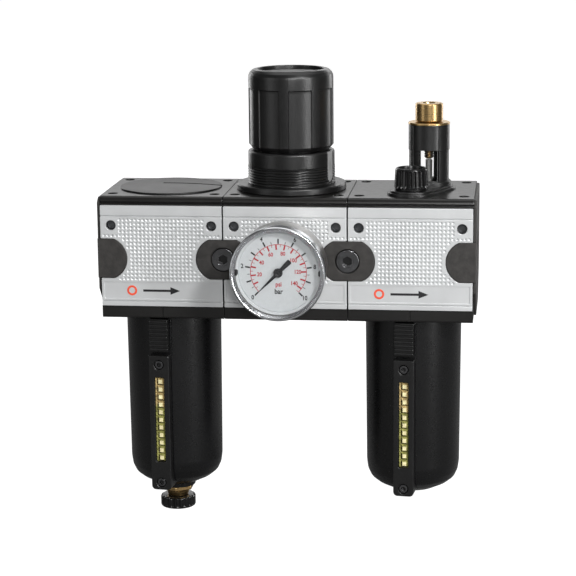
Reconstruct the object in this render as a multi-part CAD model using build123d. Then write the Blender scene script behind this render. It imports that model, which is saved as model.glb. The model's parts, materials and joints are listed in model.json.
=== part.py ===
"""Three-module filter, regulator and lubricator unit for compressed air, millimetres.

+X is the flow direction and +Z is up.
The origin is the centre of the inlet port's mouth, on the flow axis.
"""
import math
import os

from build123d import *

# modules
PITCH = 70.0
FILTER_X, REG_X, LUB_X = 35.0, 105.0, 175.0
SPANS = {"filter": (0.0, 69.9), "regulator": (70.1, 139.9), "lubricator": (140.1, 210.0)}
CENTRES = {"filter": FILTER_X, "regulator": REG_X, "lubricator": LUB_X}
TOP, BOTTOM, HALF_DEPTH = 35.0, -35.0, 35.0
TOP_FILLET, BOTTOM_FILLET = 3.2, 1.5
PORT_R, PORT_DEPTH = 9.32, 15.0          # G 1/2 female thread, minor diameter
DUCT_R = 8.0
SCREW_HOLE_R, SCREW_HOLE_DX, SCREW_HOLE_Z = 2.65, 28.6, 18.6
PLUG_HOLE_R, PLUG_FACE, PLUG_BACK = 2.85, -32.0, -29.4
POCKET_R, POCKET_DX, POCKET_DY, POCKET_DEPTH = 2.8, 29.2, 25.0, 4.0
TOP_BORE_R, TOP_BORE_DEPTH = 25.05, 7.0

# front trim plates
TRIM_HALF_W, TRIM_FACE, TRIM_BACK = 34.6, -36.5, -34.0
TRIM_LOW, TRIM_HIGH = -27.7, 29.9
PANEL_HALF_W, PANEL_LOW, PANEL_HIGH = 33.1, -23.45, -14.0
GROOVE_LOW_Z, GROOVE_HIGH_Z = -24.8, 23.9

# joint clamps
JOINTS = (70.0, 140.0)
JOINT_Z, JOINT_HALF_H, JOINT_ARC_R, JOINT_ARC_DX = -0.4, 11.2, 12.2, 3.1
JOINT_INNER = -32.5
REAR_FACE = 35.0
CLAMP_HEAD_R, CLAMP_HEAD_H, CLAMP_SHANK_R = 6.6, 2.1, 2.9
NUT_R, NUT_Y, NUT_HALF_H = 4.5, -21.0, 7.0
SEAL_IN_R, SEAL_OUT_R, SEAL_DEPTH = 9.7, 12.5, 1.6
COVER_T, COVER_HOLE_R = 1.5, 12.0

# bowls
BOWL_TURN = -6.5                          # the sight bars face this far from the front
BOWL_BORE_R, BOWL_BORE_TOP = 25.8, -16.0
NECK_R, NECK_IN_R, NECK_TOP = 25.4, 22.8, -17.0
SHOULDER_Z = -35.8
LUG_R, LUG_LOW, LUG_HIGH, LUG_DEG = 28.2, -28.9, -25.4, 30.0
CHANNEL_R, CHANNEL_LOW, CHANNEL_HIGH, ENTRY_DEG = 28.6, -29.2, -25.0, 34.0
PAD_HALF_W, PAD_FACE, PAD_LOW, PAD_HIGH = 5.9, -28.5, -137.6, -57.6
BAR_FACE = -33.0
SLOT_HALF_W, SLOT_LOW, SLOT_HIGH = 2.8, -120.8, -70.4
BAR_SCREW_Z = (-63.0, -133.2)
LATCH_HALF_W, LATCH_LOW, LATCH_HIGH = 5.4, -55.2, -36.2

# regulator
BONNET_FLANGE_R, BONNET_THREAD_R, BONNET_RING_R, BONNET_NECK_R = 31.2, 25.0, 24.65, 18.5
FLANGE_TOP, THREAD_TOP, RING_TOP, NECK_TOP_Z = 38.8, 48.5, 57.5, 84.0
SPRING_BORE_R = 16.2
KNOB_R, KNOB_LOW, KNOB_SHOULDER, KNOB_TOP = 24.16, 58.2, 98.7, 103.5
KNOB_DISC_R, KNOB_DISC_TOP = 18.4, 101.6
PISTON_BORE_R = 20.3
SPINDLE_R = 5.0

# gauge
GAUGE_Z = -1.0
GAUGE_FACE, GAUGE_BACK = -72.6, -44.0
BEZEL_R, WINDOW_R, CASE_R = 26.05, 23.0, 25.0
GAUGE_PORT_R = 5.75

# lubricator head
PLUG_X, PLUG_Y, PLUG_R = 174.5, -18.0, 9.47
DOME_X, DOME_Y, GUARD_R = 183.3, 3.0, 11.6
HEAD_TOP = 37.6


def block(x0, x1, y0, y1, z0, z1):
    return Pos((x0 + x1) / 2, (y0 + y1) / 2, (z0 + z1) / 2) * Box(x1 - x0, y1 - y0, z1 - z0)


def rod_z(x, y, r, z0, z1):
    return Pos(x, y, (z0 + z1) / 2) * Cylinder(r, z1 - z0)


def rod_y(x, z, r, y0, y1):
    return Pos(x, (y0 + y1) / 2, z) * Rot(90, 0, 0) * Cylinder(r, y1 - y0)


def rod_x(y, z, r, x0, x1):
    return Pos((x0 + x1) / 2, y, z) * Rot(0, 90, 0) * Cylinder(r, x1 - x0)


def ring_z(x, y, r_out, r_in, z0, z1):
    return rod_z(x, y, r_out, z0, z1) - rod_z(x, y, r_in, z0 - 1, z1 + 1)


def hex_z(x, y, across_flats, z0, z1):
    return Pos(x, y, z0) * extrude(RegularPolygon(across_flats / math.sqrt(3), 6), z1 - z0)


def hex_y(x, z, across_flats, y0, y1):
    return Pos(x, y1, z) * Rot(90, 0, 0) * extrude(RegularPolygon(across_flats / math.sqrt(3), 6), y1 - y0)


def turned(x, y, points):
    """A solid of revolution about a vertical axis from its (radius, height) outline."""
    face = make_face(Polyline(*[(r, 0, z) for r, z in points], close=True))
    return Pos(x, y, 0) * revolve(face, Axis.Z)


def turned_y(x, z, points):
    """A solid of revolution about a front-to-back axis from its (radius, y) outline."""
    face = make_face(Polyline(*[(r, y, 0) for r, y in points], close=True))
    return Pos(x, 0, z) * revolve(face, Axis.Y)


def sector(x, y, r_out, z0, z1, centre_deg, width_deg):
    """A slice of a vertical cylinder; angles are counter-clockwise from +X."""
    a0 = math.radians(centre_deg - width_deg / 2)
    a1 = math.radians(centre_deg + width_deg / 2)
    far = 1.6 * r_out
    wedge = Polyline((0, 0), (far * math.cos(a0), far * math.sin(a0)),
                     (far * math.cos(a1), far * math.sin(a1)), close=True)
    prism = Pos(x, y, z0) * extrude(make_face(wedge), z1 - z0)
    return prism & rod_z(x, y, r_out, z0, z1)


def coil(x, y, mean_r, wire_r, pitch, z0, z1):
    """A compression spring between two heights."""
    height = z1 - z0 - 2 * wire_r
    path = Pos(x, y, z0 + wire_r) * Helix(pitch, height, mean_r)
    wire = Plane(origin=path @ 0, z_dir=path % 0) * Circle(wire_r)
    return sweep(wire, path=path, is_frenet=True)


def rounded(solid, radius, test):
    """Fillets the edges whose centre passes the test."""
    return fillet([e for e in solid.edges() if test(e.center())], radius)


def at_bowl(x, solid):
    """Turns a piece made for a front-facing bowl to the bowls' real bearing."""
    return Pos(x, 0, 0) * Rot(0, 0, BOWL_TURN) * solid


def joint_outline(x, y0, y1, grow=0.0):
    """The clamp plate's shape: a circle stretched sideways and cut flat above and below."""
    r = JOINT_ARC_R + grow
    h = JOINT_HALF_H + grow
    left = rod_y(x - JOINT_ARC_DX, JOINT_Z, r, y0, y1)
    right = rod_y(x + JOINT_ARC_DX, JOINT_Z, r, y0, y1)
    middle = block(x - JOINT_ARC_DX, x + JOINT_ARC_DX, y0, y1, JOINT_Z - r, JOINT_Z + r)
    limit = block(x - 2 * r, x + 2 * r, y0, y1, JOINT_Z - h, JOINT_Z + h)
    return (left + right + middle) & limit


def bow_tie(x, y0, y1, grow=0.0):
    """The dovetail key behind a clamp plate, which draws two bodies together."""
    w, waist, end = 6.0 + grow, 3.5 + grow, 6.0 + grow
    pts = [(-w, -end), (0, -waist), (w, -end), (w, end), (0, waist), (-w, end)]
    face = make_face(Polyline(*[(px, 0, pz) for px, pz in pts], close=True))
    return Pos(x, y1, JOINT_Z) * extrude(face, y1 - y0, dir=(0, -1, 0))


def flip(solid):
    """Mirrors a front piece to the rear."""
    return mirror(solid, Plane.XZ)


def clamp_pockets(x):
    """Everything a clamp takes out of the bodies at one joint, front and rear."""
    front = joint_outline(x, -HALF_DEPTH - 1, JOINT_INNER, 0.1)
    front += bow_tie(x, JOINT_INNER - 0.5, -27.4, 0.1)
    front += rod_y(x, JOINT_Z, 3.3, -33.0, -15.5)
    front += rod_z(x, NUT_Y, NUT_R + 0.1, JOINT_Z - NUT_HALF_H - 0.1, JOINT_Z + NUT_HALF_H + 0.1)
    return front + flip(front)


def module_body(name):
    """The outside of one die-cast body, with what all three have in common."""
    x0, x1 = SPANS[name]
    xc = CENTRES[name]
    body = block(x0, x1, -HALF_DEPTH, HALF_DEPTH, BOTTOM, TOP)
    for z, radius in ((TOP, TOP_FILLET), (BOTTOM, BOTTOM_FILLET)):
        body = rounded(body, radius, lambda c: abs(abs(c.Y) - HALF_DEPTH) < 0.01 and abs(c.Z - z) < 0.01)
    for y0, y1 in ((-36, -34.2), (34.2, 36)):
        body -= block(x0 - 1, x1 + 1, y0, y1, 31.0, 31.8)
    body -= block(x0 - 1, x1 + 1, -36, TRIM_BACK, TRIM_LOW - 0.15, TRIM_HIGH + 0.15)
    body -= block(xc - 0.4, xc + 0.4, -36, -34.5, BOTTOM - 1, TRIM_LOW)
    for side in (-1, 1):
        body -= rod_y(xc + side * SCREW_HOLE_DX, SCREW_HOLE_Z, PLUG_HOLE_R, -36, PLUG_BACK)
        body -= rod_y(xc + side * SCREW_HOLE_DX, SCREW_HOLE_Z, SCREW_HOLE_R, PLUG_BACK - 1, 36)
        for back in (-1, 1):
            body -= rod_z(xc + side * POCKET_DX, back * POCKET_DY, POCKET_R, TOP - POCKET_DEPTH, TOP + 1)
    for x in (0.0, 210.0):
        ear = joint_outline(x, -36, JOINT_INNER, 0.1)
        body -= ear + flip(ear)
    for x in JOINTS:
        if x0 - 1 < x < x1 + 1:
            body -= clamp_pockets(x)
    return body


def seal_groove(x_face):
    """Face groove for the O-ring between two modules, cut into the upstream body."""
    return rod_x(0, 0, SEAL_OUT_R + 0.1, x_face - SEAL_DEPTH, x_face + 1) - rod_x(
        0, 0, SEAL_IN_R - 0.1, x_face - SEAL_DEPTH - 1, x_face + 2)


def bowl_socket(x):
    """The bore, bayonet channel and three entry slots that take a bowl."""
    socket = rod_z(x, 0, BOWL_BORE_R, BOTTOM - 1, BOWL_BORE_TOP)
    socket += rod_z(x, 0, CHANNEL_R, CHANNEL_LOW, CHANNEL_HIGH)
    for i in range(3):
        socket += sector(x, 0, CHANNEL_R, BOTTOM - 1, CHANNEL_LOW, 90 + 45 + 120 * i, ENTRY_DEG)
    return socket


def filter_body():
    body = module_body("filter")
    nozzle = ring_z(FILTER_X, 0, 10.0, 7.0, -26.0, BOWL_BORE_TOP)
    body -= bowl_socket(FILTER_X)
    body += nozzle
    body -= rod_z(FILTER_X, 0, TOP_BORE_R, TOP - TOP_BORE_DEPTH, TOP + 1)
    body -= rod_x(0, 0, PORT_R, -1, PORT_DEPTH)
    body -= rod_x(0, 0, DUCT_R, PORT_DEPTH - 1, 20.5)
    body -= rod_z(19.5, 0, 4.5, BOWL_BORE_TOP - 1, 0)
    body -= rod_z(FILTER_X, 0, 7.0, BOWL_BORE_TOP - 1, 0)
    body -= rod_x(0, 0, DUCT_R, FILTER_X - 3, 71)
    return body - seal_groove(SPANS["filter"][1])


def regulator_body():
    body = module_body("regulator")
    body -= rod_z(REG_X, 0, TOP_BORE_R, TOP - TOP_BORE_DEPTH, TOP + 1)
    body -= rod_z(REG_X, 0, PISTON_BORE_R, 13.0, TOP)
    body -= rod_z(REG_X, 0, 3.0, 8.0, 14.0)
    body -= rod_z(REG_X + 9, 0, 1.2, 8.0, 14.0)
    body -= rod_z(REG_X, 0, 12.0, -3.0, 9.0)
    body -= rod_z(REG_X, 0, 6.0, -7.0, 0.0)
    body -= rod_z(REG_X, 0, 12.5, BOTTOM - 1, -6.0)
    body -= rod_x(0, 0, DUCT_R, 70, 86) + rod_z(84, 0, 5.0, -13.5, 0) + rod_x(0, -13.5, 5.0, 84, REG_X)
    body -= rod_x(0, 0, DUCT_R, 124, 141) + rod_x(0, 3.0, 5.5, REG_X, 126)
    for sign in (-1, 1):
        y_mouth, y_end = sign * 36.0, sign * 21.0
        body -= rod_y(REG_X, GAUGE_Z, GAUGE_PORT_R, min(y_mouth, y_end), max(y_mouth, y_end))
        body -= rod_y(REG_X, 1.0, 2.0, min(y_end, sign * 10.0), max(y_end, sign * 10.0))
    return body - seal_groove(SPANS["regulator"][1])


def lubricator_body():
    body = module_body("lubricator")
    body -= bowl_socket(LUB_X)
    body -= rod_x(0, 0, DUCT_R, 139, 200)
    body -= rod_x(0, 0, PORT_R, 210 - PORT_DEPTH, 211)
    body -= rod_z(160, 0, 1.5, BOWL_BORE_TOP - 1, 0)
    body -= rod_z(DOME_X, 14.0, 3.05, BOWL_BORE_TOP - 1, -6.0)
    body -= rod_z(DOME_X, 14.0, 1.5, -7.0, TOP + 1)
    body -= rod_z(DOME_X, DOME_Y, 1.5, 0.0, TOP + 1)
    body -= rod_z(PLUG_X, PLUG_Y, 5.1, BOWL_BORE_TOP - 1, TOP + 1)
    return body


def trim_plate(name):
    """The silver front plate of one module."""
    xc = CENTRES[name]
    plate = block(xc - TRIM_HALF_W, xc + TRIM_HALF_W, TRIM_FACE, TRIM_BACK, TRIM_LOW, TRIM_HIGH)
    front, floor = TRIM_FACE - 1, TRIM_FACE + 0.4
    plate -= block(xc - PANEL_HALF_W, xc + PANEL_HALF_W, front, floor, PANEL_LOW, PANEL_HIGH)
    for z in (GROOVE_LOW_Z, GROOVE_HIGH_Z):
        plate -= block(xc - PITCH, xc + PITCH, front, floor, z - 0.25, z + 0.25)
    for side in (-1, 1):
        plate -= joint_outline(xc + side * PITCH / 2, -38, -33, 0.2)
        plate -= rod_y(xc + side * SCREW_HOLE_DX, SCREW_HOLE_Z, PLUG_HOLE_R, -38, -33)
    if name == "regulator":
        plate -= rod_y(xc, GAUGE_Z, 9.0, -38, -33)
    return plate


def group(solids):
    """Separate solids in one node."""
    return Compound(children=[Solid(s.solids()[0].wrapped) for s in solids])


def hole_plugs():
    """Caps that close the wall screws' holes at the front."""
    plugs = []
    for xc in CENTRES.values():
        for side in (-1, 1):
            x = xc + side * SCREW_HOLE_DX
            plugs.append(rod_y(x, SCREW_HOLE_Z, PLUG_HOLE_R - 0.02, PLUG_FACE, PLUG_BACK - 0.1))
    return group(plugs)


def end_cover(x_face, direction):
    """Thin end plate with ears that wrap round to the front and the rear."""
    x0, x1 = sorted((x_face, x_face + direction * COVER_T))
    pts = [(-35, 31.5), (-31.5, 34.0), (31.5, 34.0), (35, 31.5), (35, -18), (20, -33.5),
           (-20, -33.5), (-35, -18)]
    face = make_face(Polyline(*[(0, y, z) for y, z in pts], close=True))
    plate = Pos(x0, 0, 0) * extrude(face, x1 - x0, dir=(1, 0, 0))
    for y0, y1 in ((TRIM_FACE, JOINT_INNER), (-JOINT_INNER, REAR_FACE)):
        ear = joint_outline(x_face, y0, y1)
        reach = block(*sorted((x_face + direction * COVER_T, x_face - direction * 20)), y0, y1, -20, 20)
        plate += ear & reach
    return plate - rod_x(0, 0, COVER_HOLE_R, x0 - 1, x1 + 1)


def joint_plates():
    """Four clamp plates, each with its dovetail key: two at the front, two at the rear."""
    plates = []
    for x in JOINTS:
        for face, is_rear in ((TRIM_FACE, False), (-REAR_FACE, True)):
            plate = joint_outline(x, face, JOINT_INNER)
            plate += bow_tie(x, JOINT_INNER - 0.3, -27.5)
            plate -= rod_y(x, JOINT_Z, CLAMP_HEAD_R + 0.15, face - 1, face + CLAMP_HEAD_H + 0.1)
            plate -= rod_y(x, JOINT_Z, CLAMP_SHANK_R + 0.2, face - 1, -26)
            plates.append(flip(plate) if is_rear else plate)
    return group(plates)


def joint_screws():
    screws = []
    for x in JOINTS:
        for face, is_rear in ((TRIM_FACE, False), (-REAR_FACE, True)):
            head_low = face + 0.1
            screw = rod_y(x, JOINT_Z, CLAMP_HEAD_R, head_low, head_low + CLAMP_HEAD_H - 0.1)
            screw += rod_y(x, JOINT_Z, CLAMP_SHANK_R, head_low + 1, -17.5)
            screw -= hex_y(x, JOINT_Z, 5.0, face - 1, head_low + 1.7)
            screws.append(flip(screw) if is_rear else screw)
    return group(screws)


def joint_nuts():
    nuts = []
    for x in JOINTS:
        nut = rod_z(x, NUT_Y, NUT_R, JOINT_Z - NUT_HALF_H, JOINT_Z + NUT_HALF_H)
        nut -= rod_y(x, JOINT_Z, CLAMP_SHANK_R + 0.05, -30, -10)
        nuts += [nut, flip(nut)]
    return group(nuts)


def module_seals():
    seals = []
    for x in (SPANS["filter"][1], SPANS["regulator"][1]):
        ring = rod_x(0, 0, SEAL_OUT_R, x - SEAL_DEPTH, x + 0.2)
        seals.append(ring - rod_x(0, 0, SEAL_IN_R, x - 3, x + 2))
    return group(seals)


def filter_top_cap():
    """Domed blanking cap with a coin slot towards its right side."""
    cap = rod_z(FILTER_X, 0, TOP_BORE_R - 0.05, TOP - TOP_BORE_DEPTH, TOP)
    cap -= rod_z(FILTER_X, 0, 21.0, TOP - TOP_BORE_DEPTH - 1, TOP - 1.5)
    ball_r = (29.4 ** 2 + 1.3 ** 2) / (2 * 1.3)
    dome = Pos(FILTER_X, 0, TOP + 2.1 - ball_r) * Sphere(ball_r)
    cap += rod_z(FILTER_X, 0, 29.4, TOP, TOP + 2.2) & dome
    return cap - block(FILTER_X - 5, FILTER_X + 31, 0.5, 1.9, TOP + 0.8, TOP + 3)


def bowl(x, with_drain):
    """A metal bowl with its bayonet lugs, sight-glass pad and latch guide."""
    outer = [(0, -142.7), (3.5, -142.7), (12.5, -140.3), (13.6, -140.0), (20.6, -136.5), (24.4, -133.4),
             (26.2, -129.4), (26.9, -124.5), (27.5, -43.0), (27.5, SHOULDER_Z), (NECK_R, SHOULDER_Z),
             (NECK_R, NECK_TOP), (0, NECK_TOP)]
    inner = [(0, -138.6), (12.0, -136.9), (18.6, -134.0), (22.0, -131.0), (24.2, -124.5), (24.7, -41.0),
             (NECK_IN_R, -38.5), (NECK_IN_R, NECK_TOP + 1), (0, NECK_TOP + 1)]
    shell = turned(0, 0, outer)
    for i in range(3):
        shell += sector(0, 0, LUG_R, LUG_LOW, LUG_HIGH, 90 + 120 * i, LUG_DEG)
    shell = Rot(0, 0, -BOWL_TURN) * shell
    pad = block(-PAD_HALF_W, PAD_HALF_W, PAD_FACE, -14.0, PAD_LOW, PAD_HIGH)
    pad = rounded(pad, 2.5, lambda c: abs(abs(c.X) - PAD_HALF_W) < 0.01 and abs(c.Z - PAD_LOW) < 0.01)
    shell += pad
    shell += block(-6.4, 6.4, -28.3, -20, PAD_HIGH - 1, -37.4)
    if with_drain:
        shell += rod_z(0, 0, 10.5, -143.5, -140)
    shell -= turned(0, 0, inner)
    shell -= block(-3.2, 3.2, -30, -18, SLOT_LOW - 1.2, SLOT_HIGH + 1.2)
    shell -= block(-2.6, 2.6, -30, -25.9, -56.8, -38.0)
    for z in BAR_SCREW_Z:
        shell -= rod_y(0, z, 1.55, -30, -25.5)
    groove = ring_z(0, 0, NECK_R + 1, 23.9, -22.6, -19.8)
    shell -= groove
    if with_drain:
        shell -= rod_z(0, 0, 6.05, -144, -134)
    return at_bowl(x, shell)


def bowl_seal(x):
    return ring_z(x, 0, BOWL_BORE_R - 0.05, 23.95, -22.5, -19.9)


def sight_glass(x):
    flange = block(-4.6, 4.6, -30.5, PAD_FACE, SLOT_LOW - 3.6, SLOT_HIGH + 3.6)
    ridge = block(-2.65, 2.65, -32.5, -30.5, SLOT_LOW + 2.8, SLOT_HIGH - 2.8)
    for z in (SLOT_LOW + 2.8, SLOT_HIGH - 2.8):
        ridge += rod_y(0, z, 2.65, -32.5, -30.5)
    prism = block(-3.0, 3.0, PAD_FACE, -25.0, SLOT_LOW - 1.0, SLOT_HIGH + 1.0)
    return at_bowl(x, flange + ridge + prism)


def sight_cover(x):
    """The bar that clamps the sight glass to the bowl."""
    bar = block(-PAD_HALF_W, PAD_HALF_W, BAR_FACE, PAD_FACE, PAD_LOW, PAD_HIGH)
    bar = rounded(bar, 2.5, lambda c: abs(abs(c.X) - PAD_HALF_W) < 0.01 and abs(c.Z - PAD_LOW) < 0.01)
    bar = chamfer([e for e in bar.edges() if abs(e.center().Y - BAR_FACE) < 0.01], 0.5)
    window = block(-SLOT_HALF_W, SLOT_HALF_W, -34, -28, SLOT_LOW + 2.8, SLOT_HIGH - 2.8)
    for z in (SLOT_LOW + 2.8, SLOT_HIGH - 2.8):
        window += rod_y(0, z, SLOT_HALF_W, -34, -28)
    bar -= window
    bar -= block(-4.7, 4.7, -30.5, -28, SLOT_LOW - 3.7, SLOT_HIGH + 3.7)
    for z in BAR_SCREW_Z:
        bar -= rod_y(0, z, 2.8, -34, -30.2) + rod_y(0, z, 1.6, -34, -28)
    return at_bowl(x, bar)


def sight_screws(x):
    screws = []
    for z in BAR_SCREW_Z:
        screw = rod_y(0, z, 2.6, -32.4, -30.2) + rod_y(0, z, 1.5, -31, -25.6)
        screws.append(at_bowl(x, screw - hex_y(0, z, 2.5, -34, -31.2)))
    return group(screws)


def latch(x):
    """The ribbed slider that locks the bowl."""
    slider = block(-LATCH_HALF_W, LATCH_HALF_W, BAR_FACE + 0.8, -28.5, LATCH_LOW, LATCH_HIGH)
    for i in range(8):
        z = LATCH_LOW + 1.3 + 2.3 * i
        slider += Pos(0, BAR_FACE + 0.8, z) * Rot(0, 90, 0) * Cylinder(0.75, 2 * LATCH_HALF_W)
    slider += block(-2.4, 2.4, -29.0, -26.1, -46.0, -38.4)
    return at_bowl(x, slider)


def latch_spring(x):
    return at_bowl(x, coil(0, -27.15, 0.8, 0.25, 1.2, -56.7, -46.0))


def filter_element():
    return ring_z(FILTER_X, 0, 14.0, 11.0, -86.0, -31.0)


def swirl_vane():
    """Ring of slanted vanes that spins the incoming air."""
    vane = ring_z(FILTER_X, 0, 14.5, 10.1, -30.9, BOWL_BORE_TOP - 3)
    vane += ring_z(FILTER_X, 0, 14.5, 7.1, -30.9, -26.2)
    for i in range(12):
        fin = Rot(28, 0, 0) * Box(8.0, 1.2, 9.0)
        vane += Pos(FILTER_X, 0, -25.5) * Rot(0, 0, 30 * i) * Pos(17.6, 0, 0) * fin
    vane += ring_z(FILTER_X, 0, 22.4, 20.6, -30.9, -20.0)
    return vane


def baffle_bolt():
    """Hollow bolt through the element, with the quiet-zone baffle at its foot."""
    bolt = ring_z(FILTER_X, 0, 6.9, 4.6, -92.0, -9.0)
    for i in range(4):
        bolt -= Pos(FILTER_X, 0, -58) * Rot(0, 0, 45 * i) * Box(20, 4.0, 44)
    baffle = turned(FILTER_X, 0, [(0, -92), (6, -92), (19, -97), (19, -95), (14.2, -91), (14.2, -86.1),
                                  (0, -86.1)])
    return bolt + baffle


def drain_body():
    body = hex_z(FILTER_X, 0, 17.4, -146.0, -143.5)
    body += turned(FILTER_X, 0, [(0, -150.0), (6.0, -150.0), (6.9, -147.0), (8.4, -146.0), (0, -146.0)])
    body += rod_z(FILTER_X, 0, 6.0, -143.6, -135.0)
    return body - rod_z(FILTER_X, 0, 2.6, -151, -134)


def drain_knob():
    knob = rod_z(FILTER_X, 0, 10.3, -156.8, -150.3)
    for i in range(18):
        a = math.radians(20 * i)
        knob -= rod_z(FILTER_X + 10.9 * math.cos(a), 10.9 * math.sin(a), 1.1, -156.0, -149)
    knob = knob + rod_z(FILTER_X, 0, 2.5, -150.4, -136.5)
    return knob - rod_z(FILTER_X, 0, 1.2, -158, -141)


def bonnet():
    outline = [(PISTON_BORE_R, TOP - TOP_BORE_DEPTH), (TOP_BORE_R - 0.05, TOP - TOP_BORE_DEPTH),
               (TOP_BORE_R - 0.05, TOP), (BONNET_FLANGE_R, TOP), (BONNET_FLANGE_R, FLANGE_TOP - 0.6),
               (BONNET_FLANGE_R - 0.6, FLANGE_TOP), (BONNET_THREAD_R, FLANGE_TOP),
               (BONNET_THREAD_R, THREAD_TOP),
               (BONNET_RING_R, THREAD_TOP), (BONNET_RING_R, RING_TOP - 1.0), (BONNET_RING_R - 1.0, RING_TOP),
               (BONNET_NECK_R, RING_TOP), (BONNET_NECK_R, NECK_TOP_Z), (SPINDLE_R + 0.1, NECK_TOP_Z),
               (SPINDLE_R + 0.1, 81.0), (SPRING_BORE_R, 81.0), (SPRING_BORE_R, 37.5), (PISTON_BORE_R, 37.5)]
    shell = turned(REG_X, 0, outline)
    for side in (-1, 1):
        shell -= block(*sorted((REG_X + side * 14, REG_X + side * 17.3)), -1.6, 1.6, 50, 81)
    key = Pos(0, -25.0, 0) * Box(8.0, 2.4, 2 * 8.8)
    key += Pos(0, -25.0, -8.8) * Rot(90, 0, 0) * Cylinder(4.0, 2.4)
    return shell - Pos(REG_X, 0, 52.6) * Rot(0, 0, 72) * key


def adjusting_knob():
    shoulder = [(KNOB_R - 0.25, KNOB_SHOULDER + 1.6), (KNOB_R - 1.1, KNOB_SHOULDER + 3.2),
                (21.4, KNOB_TOP - 0.3)]
    outline = [(20.8, KNOB_LOW), (21.8, KNOB_LOW), (KNOB_R, KNOB_LOW + 2.5), (KNOB_R, KNOB_SHOULDER)]
    outline += shoulder + [(20.2, KNOB_TOP), (KNOB_DISC_R + 0.1, KNOB_TOP),
                           (KNOB_DISC_R + 0.1, KNOB_DISC_TOP - 1.2),
                           (0, KNOB_DISC_TOP - 1.2), (0, 84.6), (8.0, 84.6), (8.0, 90.0), (20.8, 90.0)]
    knob = turned(REG_X, 0, outline)
    panel = ring_z(REG_X, 0, KNOB_R + 1, KNOB_R - 0.7, KNOB_LOW, 92.8)
    for i in range(8):
        centre = -90 - 10 + 22.5 + 45 * i
        knob -= panel & sector(REG_X, 0, KNOB_R + 1, KNOB_LOW, 92.8, centre, 32)
    return knob - hex_z(REG_X, 0, 8.2, 84, 99.5)


def knob_disc():
    return rod_z(REG_X, 0, KNOB_DISC_R, KNOB_DISC_TOP - 1.2, KNOB_DISC_TOP)


def spindle():
    shaft = rod_z(REG_X, 0, SPINDLE_R, 50.0, 84.5) + rod_z(REG_X, 0, 8.0, 77.9, 80.8)
    return shaft + hex_z(REG_X, 0, 8.0, 84.0, 99.0)


def spring_plate():
    plate = rod_z(REG_X, 0, 15.6, 73.0, 76.0) + rod_z(REG_X, 0, 8.0, 66.0, 73.0)
    plate += block(REG_X - 17.0, REG_X + 17.0, -1.45, 1.45, 73.0, 76.0)
    return plate - rod_z(REG_X, 0, SPINDLE_R + 0.06, 60, 80)


def piston():
    return turned(REG_X, 0, [(0, 14.8), (4, 14.8), (4, 17), (20.1, 17), (20.1, 24.0), (17.5, 24.0),
                             (16.5, 22.0), (0, 22.0)])


def valve():
    return turned(REG_X, 0, [(0, -22), (3.0, -22), (3.0, -10), (8.5, -10), (8.5, -6.05), (2.8, -6.05),
                             (2.8, 14.8), (0, 14.8)])


def bottom_plug():
    plug = rod_z(REG_X, 0, 12.45, -34.5, -25.0) + rod_z(REG_X, 0, 4.8, -25.0, -15.5)
    plug -= rod_z(REG_X, 0, 3.1, -24.5, -15)
    return plug - hex_z(REG_X, 0, 10.0, -36, -30)


def gauge_port_plug():
    plug = rod_y(REG_X, GAUGE_Z, GAUGE_PORT_R - 0.05, 25.0, 34.6)
    return plug - hex_y(REG_X, GAUGE_Z, 6.0, 30.0, 36.0)


def gauge_case():
    return turned_y(REG_X, GAUGE_Z, [(6.1, GAUGE_BACK), (24.0, GAUGE_BACK), (CASE_R, GAUGE_BACK - 1.0), (CASE_R, -69.4),
                                     (23.8, -69.4), (23.8, GAUGE_BACK - 1.5), (6.1, GAUGE_BACK - 1.5)])


def gauge_bezel():
    return turned_y(REG_X, GAUGE_Z, [(WINDOW_R, -71.4), (WINDOW_R + 1.0, GAUGE_FACE), (25.3, GAUGE_FACE),
                                     (BEZEL_R, -71.8), (BEZEL_R, -64.5), (CASE_R + 0.05, -64.5), (CASE_R + 0.05, -71.2)])


def gauge_window():
    return rod_y(REG_X, GAUGE_Z, 24.8, -71.1, -69.5)


def gauge_dial():
    return rod_y(REG_X, GAUGE_Z, 23.7, -65.6, -64.8) - rod_y(REG_X, GAUGE_Z, 1.5, -67, -64)


def gauge_pointer():
    """Tapered pointer at zero, its counterweight tail, hub and arbor."""
    blade = [(-0.5, 18.6), (0.5, 18.6), (1.0, 0), (1.9, -8.0), (-1.9, -8.0), (-1.0, 0)]
    face = make_face(Polyline(*[(px, 0, pz) for px, pz in blade], close=True))
    flat = extrude(face, 0.5, dir=(0, -1, 0))
    pointer = Pos(REG_X, -67.2, GAUGE_Z) * Rot(0, -135, 0) * flat
    pointer += rod_y(REG_X, GAUGE_Z, 2.6, -68.4, -67.2)
    return pointer + rod_y(REG_X, GAUGE_Z, 0.8, -67.3, -61.0)


def gauge_movement():
    works = block(REG_X - 9, REG_X + 9, -63.5, -56.0, GAUGE_Z - 6, GAUGE_Z + 6)
    return works - rod_y(REG_X, GAUGE_Z, 0.85, -64, -60)


def gauge_stem():
    """Square-shouldered stem with the Bourdon tube brazed to its block."""
    stem = rod_y(REG_X, GAUGE_Z, GAUGE_PORT_R - 0.05, -37.5, -24.0)
    stem += block(REG_X - 7, REG_X + 7, -43.8, -37.5, GAUGE_Z - 7, GAUGE_Z + 7)
    stem += rod_y(REG_X, GAUGE_Z, 6.0, -50.0, -43.8)
    stem += block(REG_X - 5, REG_X + 5, -54.0, -49.0, GAUGE_Z - 19.5, GAUGE_Z + 4)
    tube = Pos(REG_X, -51.5, GAUGE_Z) * Rot(90, 0, 0) * Torus(17.5, 1.9)
    tube -= block(REG_X - 30, REG_X, -60, -45, GAUGE_Z - 30, GAUGE_Z - 4)
    return (stem + tube) - rod_y(REG_X, GAUGE_Z, 2.0, -50, -20)


def siphon_tube():
    tube = ring_z(DOME_X, 14.0, 3.0, 1.8, -126.0, -6.2)
    return tube + ring_z(DOME_X, 14.0, 4.5, 3.0, -126.0, -118.0)


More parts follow.
